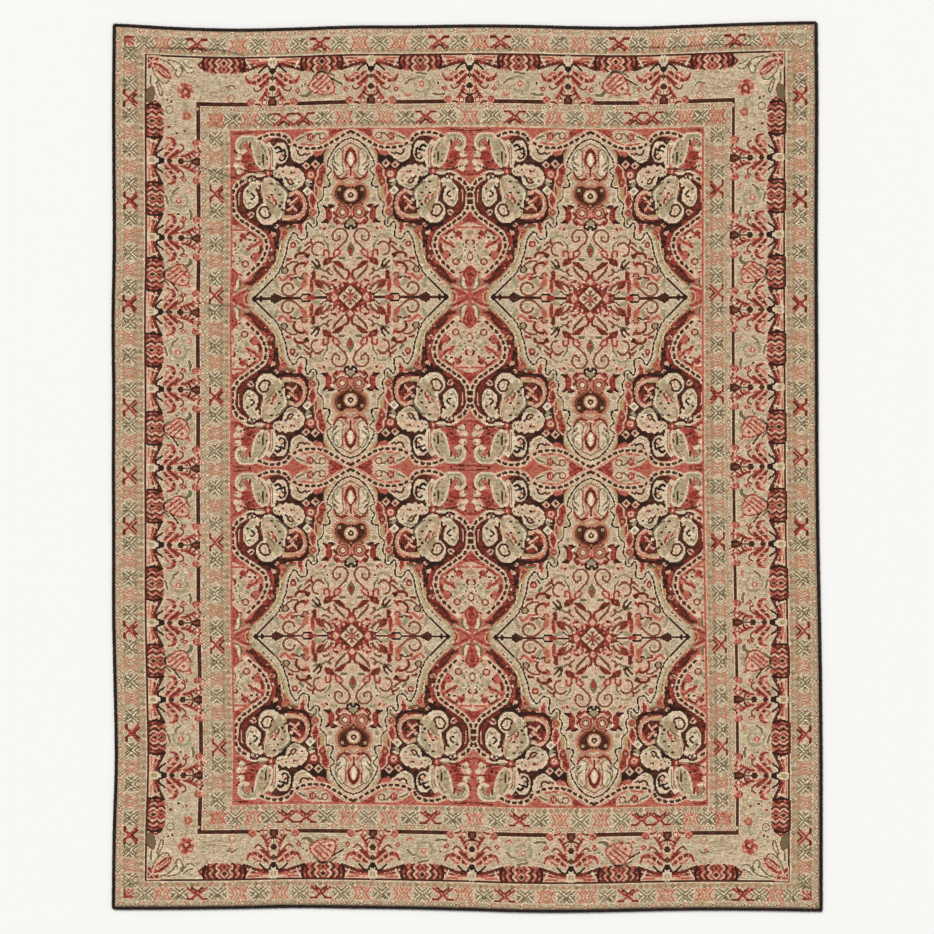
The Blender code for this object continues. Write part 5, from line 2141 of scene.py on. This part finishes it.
@dataclass
class EdgeBinding:
    """The dark binding along one side: a core on the cloth's edge with yarn sewn over it, turn beside turn.

    Lengths are in metres. The shares are of the binding's thickness or width, and the slant's of the pitch.
    """

    shape: RugShape
    side: Side
    stations: int = 120
    arc_steps: int = 8
    middle_share: float = 0.42
    corner_rounding: float = 0.96
    corner_steps: int = 3
    visible_share: float = 0.78
    sewn_share: float = 0.9
    sunk: float = 0.0012
    stitch_pitch: float = 0.0036
    yarn_radius: float = 0.0016
    yarn_sides: int = 5
    turn_points: int = 7
    turn_start: float = 0.0015
    turn_foot: float = 0.002
    slant_share: float = 0.8
    crest_share: float = 1.22
    start_share: float = 0.72
    swing: Triple = (0.03, 0.03, 0.10)
    swing_seed: int = 5
    least_size: Triple = (1.0, 0.94, 0.96)
    greatest_size: Triple = (1.0, 1.03, 1.04)
    size_seed: int = 9

    def path(self) -> list[tuple[Vector, float]]:
        """Return the binding's inner edge, anticlockwise round the rug, with its share of the full width.

        At the head and the foot it runs on past the cloth's corners, where it narrows to a round end.

        Returns:
            The places in the scene, each with its width.
        """
        share = np.linspace(0.0, 1.0, self.stations + 1)
        zero, one = share * 0, share * 0 + 1
        u, v = {
            Side.LEFT: (zero, 1 - share),
            Side.RIGHT: (one, share),
            Side.HEAD: (1 - share, one),
            Side.FOOT: (share, zero),
        }[self.side]
        plan = self.shape.plan(u, v)
        lift = self.shape.lift(plan)
        places = plan + self.shape.slide + np.asarray(self.side.outward) * self.shape.seam_gap
        line = [(Vector((x, y, z)), 1.0) for (x, y), z in zip(places, lift)]
        if self.side.upright:
            return line
        reach = self.shape.seam_gap + self.shape.binding_width * self.visible_share
        way = Vector((-1.0 if self.side is Side.HEAD else 1.0, 0.0, 0.0))
        first, last = line[0][0], line[-1][0]
        for step in range(1, self.corner_steps + 1):
            part = step / self.corner_steps
            width = math.sqrt(1 - (self.corner_rounding * part) ** 2)
            line.insert(0, (first - way * reach * part, width))
            line.append((last + way * reach * part, width))
        return line

    def build(self, material: bpy.types.Material) -> bpy.types.Object:
        """Build the core and the turns of yarn, and join them into one piece.

        Args:
            material: The yarn's finish.

        Returns:
            The dressed binding.
        """
        path = self.path()
        name = f"binding_{self.side.label}_overcast"
        both = bmesh.new()
        for part in (self.core_mesh(path), self.stitch_mesh(path, material)):
            both.from_mesh(part)
            bpy.data.meshes.remove(part)
        mesh = bpy.data.meshes.new(name)
        both.to_mesh(mesh)
        both.free()
        mesh.materials.clear()
        mesh.materials.append(material)
        mesh.shade_smooth()
        return new_piece(name, mesh)

    def section(self) -> list[Point]:
        """Return the core's section, sunk below the turns of yarn: distance from the cloth, and height.

        Returns:
            The section's corners, in metres.
        """
        thickness = self.shape.binding_thickness - self.sunk
        width = self.shape.binding_width * self.visible_share - self.sunk
        middle = self.middle_share * thickness
        rise = thickness - middle
        lowest = -math.asin(middle / rise)
        points = [(0.0, 0.0)]
        for step in range(self.arc_steps + 1):
            angle = math.pi / 2 + (lowest - math.pi / 2) * step / self.arc_steps
            points.append((width * math.cos(angle), max(middle + rise * math.sin(angle), 0.0)))
        return points

    def core_mesh(self, path: list[tuple[Vector, float]]) -> bpy.types.Mesh:
        """Sweep the section along the path and close both ends.

        Args:
            path: The binding's inner edge, as path returns it.

        Returns:
            The core's mesh.
        """
        outward = Vector((*self.side.outward, 0.0))
        section = self.section()
        body = bmesh.new()
        rings = []
        for place, width in path:
            ring = [place + outward * away * width + UP * height for away, height in section]
            rings.append([body.verts.new(corner) for corner in ring])
        for first, second in zip(rings, rings[1:]):
            for index in range(len(first)):
                following = (index + 1) % len(first)
                body.faces.new((first[index], second[index], second[following], first[following]))
        body.faces.new(rings[0])
        body.faces.new(rings[-1][::-1])
        bmesh.ops.recalc_face_normals(body, faces=body.faces)
        mesh = bpy.data.meshes.new("binding_core")
        body.to_mesh(mesh)
        body.free()
        return mesh

    def stitch_mesh(self, path: list[tuple[Vector, float]], material: bpy.types.Material) -> bpy.types.Mesh:
        """Lay the turns of yarn along the path with Geometry Nodes and return them as a plain mesh.

        Args:
            path: The binding's inner edge, as path returns it.
            material: The yarn's finish.

        Returns:
            The mesh of all the turns.
        """
        line = bpy.data.meshes.new("binding_line")
        places = [tuple(place) for place, width in path if width > self.sewn_share]
        line.from_pydata(places, [(index, index + 1) for index in range(len(places) - 1)], [])
        carrier = new_piece("binding_line", line)
        modifier = carrier.modifiers.new("turns", "NODES")
        modifier.node_group = self.stitch_tree()
        sizes = {
            "Pitch": self.stitch_pitch,
            "Yarn Radius": self.yarn_radius,
            "Width": self.shape.binding_width * self.visible_share,
            "Height": self.shape.binding_thickness,
            "Material": material,
        }
        for item in modifier.node_group.interface.items_tree:
            if item.in_out == "INPUT" and item.name in sizes:
                modifier[item.identifier] = sizes[item.name]
        bpy.context.view_layer.update()
        graph = bpy.context.evaluated_depsgraph_get()
        mesh = bpy.data.meshes.new_from_object(carrier.evaluated_get(graph))
        bpy.data.objects.remove(carrier, do_unlink=True)
        bpy.data.meshes.remove(line)
        return mesh

    def stitch_tree(self) -> Tree:
        """Build the tree that sets one slanting turn of yarn after another along a line.

        Returns:
            The tree, with its sizes as named inputs.
        """
        tree = bpy.data.node_groups.new("overcast_turns", "GeometryNodeTree")
        kinds = {"Geometry": "Geometry", "Pitch": "Float", "Yarn Radius": "Float", "Width": "Float",
                 "Height": "Float", "Material": "Material"}
        for name, kind in kinds.items():
            tree.interface.new_socket(name, in_out="INPUT", socket_type=f"NodeSocket{kind}")
        tree.interface.new_socket("Geometry", in_out="OUTPUT", socket_type="NodeSocketGeometry")
        given = add_node(tree, "NodeGroupInput").outputs
        line = add_node(tree, "GeometryNodeMeshToCurve", inputs={"Mesh": given["Geometry"]})
        spaced = add_node(tree, "GeometryNodeResampleCurve", {"mode": "LENGTH"}, {
            "Curve": line.outputs[0], "Length": given["Pitch"]})
        tangent = add_node(tree, "GeometryNodeInputTangent").outputs[0]
        facing = add_node(tree, "FunctionNodeAlignRotationToVector", {"axis": "X", "pivot_axis": "Z"}, {
            "Vector": tangent})
        swing = self.scatter(tree, tuple(-reach for reach in self.swing), self.swing, self.swing_seed)
        turned = add_node(tree, "FunctionNodeRotateRotation", {"rotation_space": "LOCAL"}, {
            0: facing.outputs[0], 1: swing})
        laid = add_node(tree, "GeometryNodeInstanceOnPoints", inputs={
            "Points": spaced.outputs[0],
            "Instance": self.turn(tree, given),
            "Rotation": turned.outputs[0],
            "Scale": self.scatter(tree, self.least_size, self.greatest_size, self.size_seed),
        })
        real = add_node(tree, "GeometryNodeRealizeInstances", inputs={0: laid.outputs[0]})
        dressed = add_node(tree, "GeometryNodeSetMaterial", inputs={
            "Geometry": real.outputs[0], "Material": given["Material"]})
        add_node(tree, "NodeGroupOutput", inputs={0: dressed.outputs[0]})
        return tree

    def scatter(self, tree: Tree, least: Triple, greatest: Triple, seed: int) -> Socket:
        """Return a random vector for each turn.

        Args:
            tree: The tree of the turns.
            least: The least value of each axis.
            greatest: The greatest value of each axis.
            seed: The seed of the scatter.

        Returns:
            The vector.
        """
        inputs = {0: least, 1: greatest, "Seed": seed}
        return add_node(tree, "FunctionNodeRandomValue", {"data_type": "FLOAT_VECTOR"}, inputs).outputs[0]

    def turn(self, tree: Tree, given: Any) -> Socket:
        """Return one turn of yarn, from the cloth over the core's crest and down its outer side.

        Args:
            tree: The tree of the turns.
            given: The tree's inputs.

        Returns:
            The turn's geometry.
        """
        slant = maths(tree, "MULTIPLY", given["Pitch"], self.slant_share)
        out = maths(tree, "MULTIPLY", given["Width"], -1.0)
        crest = maths(tree, "MULTIPLY", given["Height"], self.crest_share)
        start = maths(tree, "MULTIPLY", given["Height"], self.start_share)
        places = {
            "Start": (0.0, self.turn_start, start),
            "Start Handle": (0.0, 0.0, crest),
            "End Handle": (slant, out, crest),
            "End": (slant, out, self.turn_foot),
        }
        ends = {
            name: add_node(tree, "ShaderNodeCombineXYZ", inputs=dict(enumerate(place))).outputs[0]
            for name, place in places.items()
        }
        turn = add_node(tree, "GeometryNodeCurvePrimitiveBezierSegment", inputs={
            "Resolution": self.turn_points, **ends})
        ring = add_node(tree, "GeometryNodeCurvePrimitiveCircle", inputs={
            "Resolution": self.yarn_sides, "Radius": given["Yarn Radius"]})
        return add_node(tree, "GeometryNodeCurveToMesh", inputs={
            "Curve": turn.outputs[0], "Profile Curve": ring.outputs[0], "Fill Caps": True}).outputs[0]


@dataclass
class Studio:
    """A plain pale floor, soft light, and a camera straight above the rug with its head at the top."""

    image_side_knots: float = 934.0
    knot: float = 0.00344
    camera_height: float = 9.0
    sensor: float = 36.0
    view_end: float = 100.0
    floor_side: float = 30.0
    floor_height: float = -0.0006
    floor_colour: str = "#F4F3F0"
    floor_roughness: float = 0.9
    room_strength: float = 0.55
    key_strength: float = 2.2
    key_spread: float = 25.0
    key_turn: Triple = (-38.0, -26.0, 0.0)

    def build(self) -> None:
        """Build the floor, the lights and the camera."""
        self.lay_floor()
        self.hang_lights()
        self.place_camera()
        bpy.context.scene.view_settings.view_transform = "Standard"

    def lay_floor(self) -> None:
        """Lay the floor just under the rug."""
        half = self.floor_side / 2
        corners = [(x * half, y * half, self.floor_height) for x, y in ((-1, -1), (1, -1), (1, 1), (-1, 1))]
        mesh = bpy.data.meshes.new("studio_floor")
        mesh.from_pydata(corners, [], [(0, 1, 2, 3)])
        material, _, shader = new_material("painted_studio_floor", Roughness=self.floor_roughness)
        shader.inputs["Base Color"].default_value = linear(self.floor_colour)
        mesh.materials.append(material)
        floor = new_piece("studio_floor", mesh)

    def hang_lights(self) -> None:
        """Hang one broad soft key light over the head's left and fill the room evenly."""
        world = bpy.data.worlds.new("studio_room")
        world.use_nodes = True
        background = world.node_tree.nodes["Background"]
        background.inputs["Color"].default_value = (1.0, 1.0, 1.0, 1.0)
        background.inputs["Strength"].default_value = self.room_strength
        bpy.context.scene.world = world
        lamp = bpy.data.lights.new("studio_key", "SUN")
        lamp.energy = self.key_strength
        lamp.angle = math.radians(self.key_spread)
        key = bpy.data.objects.new("studio_key", lamp)
        key.rotation_euler = [math.radians(turn) for turn in self.key_turn]
        bpy.context.scene.collection.objects.link(key)

    def place_camera(self) -> None:
        """Set the camera straight above, with a long lens so that the rug's edges stay square."""
        lens = bpy.data.cameras.new("studio_camera")
        lens.sensor_width = self.sensor
        lens.lens = self.sensor * self.camera_height / (self.image_side_knots * self.knot)
        lens.clip_end = self.view_end
        camera = bpy.data.objects.new("studio_camera", lens)
        camera.location = UP * self.camera_height
        bpy.context.scene.collection.objects.link(camera)
        bpy.context.scene.camera = camera


@dataclass
class Rug:
    """The whole rug: its cloth and its four bindings."""

    shape: RugShape = field(default_factory=RugShape)

    def build(self) -> None:
        """Build every piece and put it in place of the imported solid that it stands for."""
        self.shape.settle("rug_cloth")
        binding_finish = OvercastWool().material()
        for side in Side:
            piece = EdgeBinding(self.shape, side).build(binding_finish)
            self.place(piece, f"binding_{side.label}", "edge_binding")
        cloth = RugCloth(self.shape).build()
        self.place(cloth, "rug_cloth", "rug_pile")

    def place(self, piece: bpy.types.Object, node: str, slot: str) -> None:
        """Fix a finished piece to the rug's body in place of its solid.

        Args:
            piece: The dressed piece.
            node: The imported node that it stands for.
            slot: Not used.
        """
        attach(piece, "root")
        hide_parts(node)
        log.info("%s: %d faces, in place of %s", piece.name, len(piece.data.polygons), node)


def main() -> None:
    """Load the frame, dress it, build the studio and finish."""
    logging.basicConfig(level=logging.INFO, format="%(message)s")
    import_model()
    Rug().build()
    Studio().build()
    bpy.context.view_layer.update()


if __name__ == "__main__":
    main()
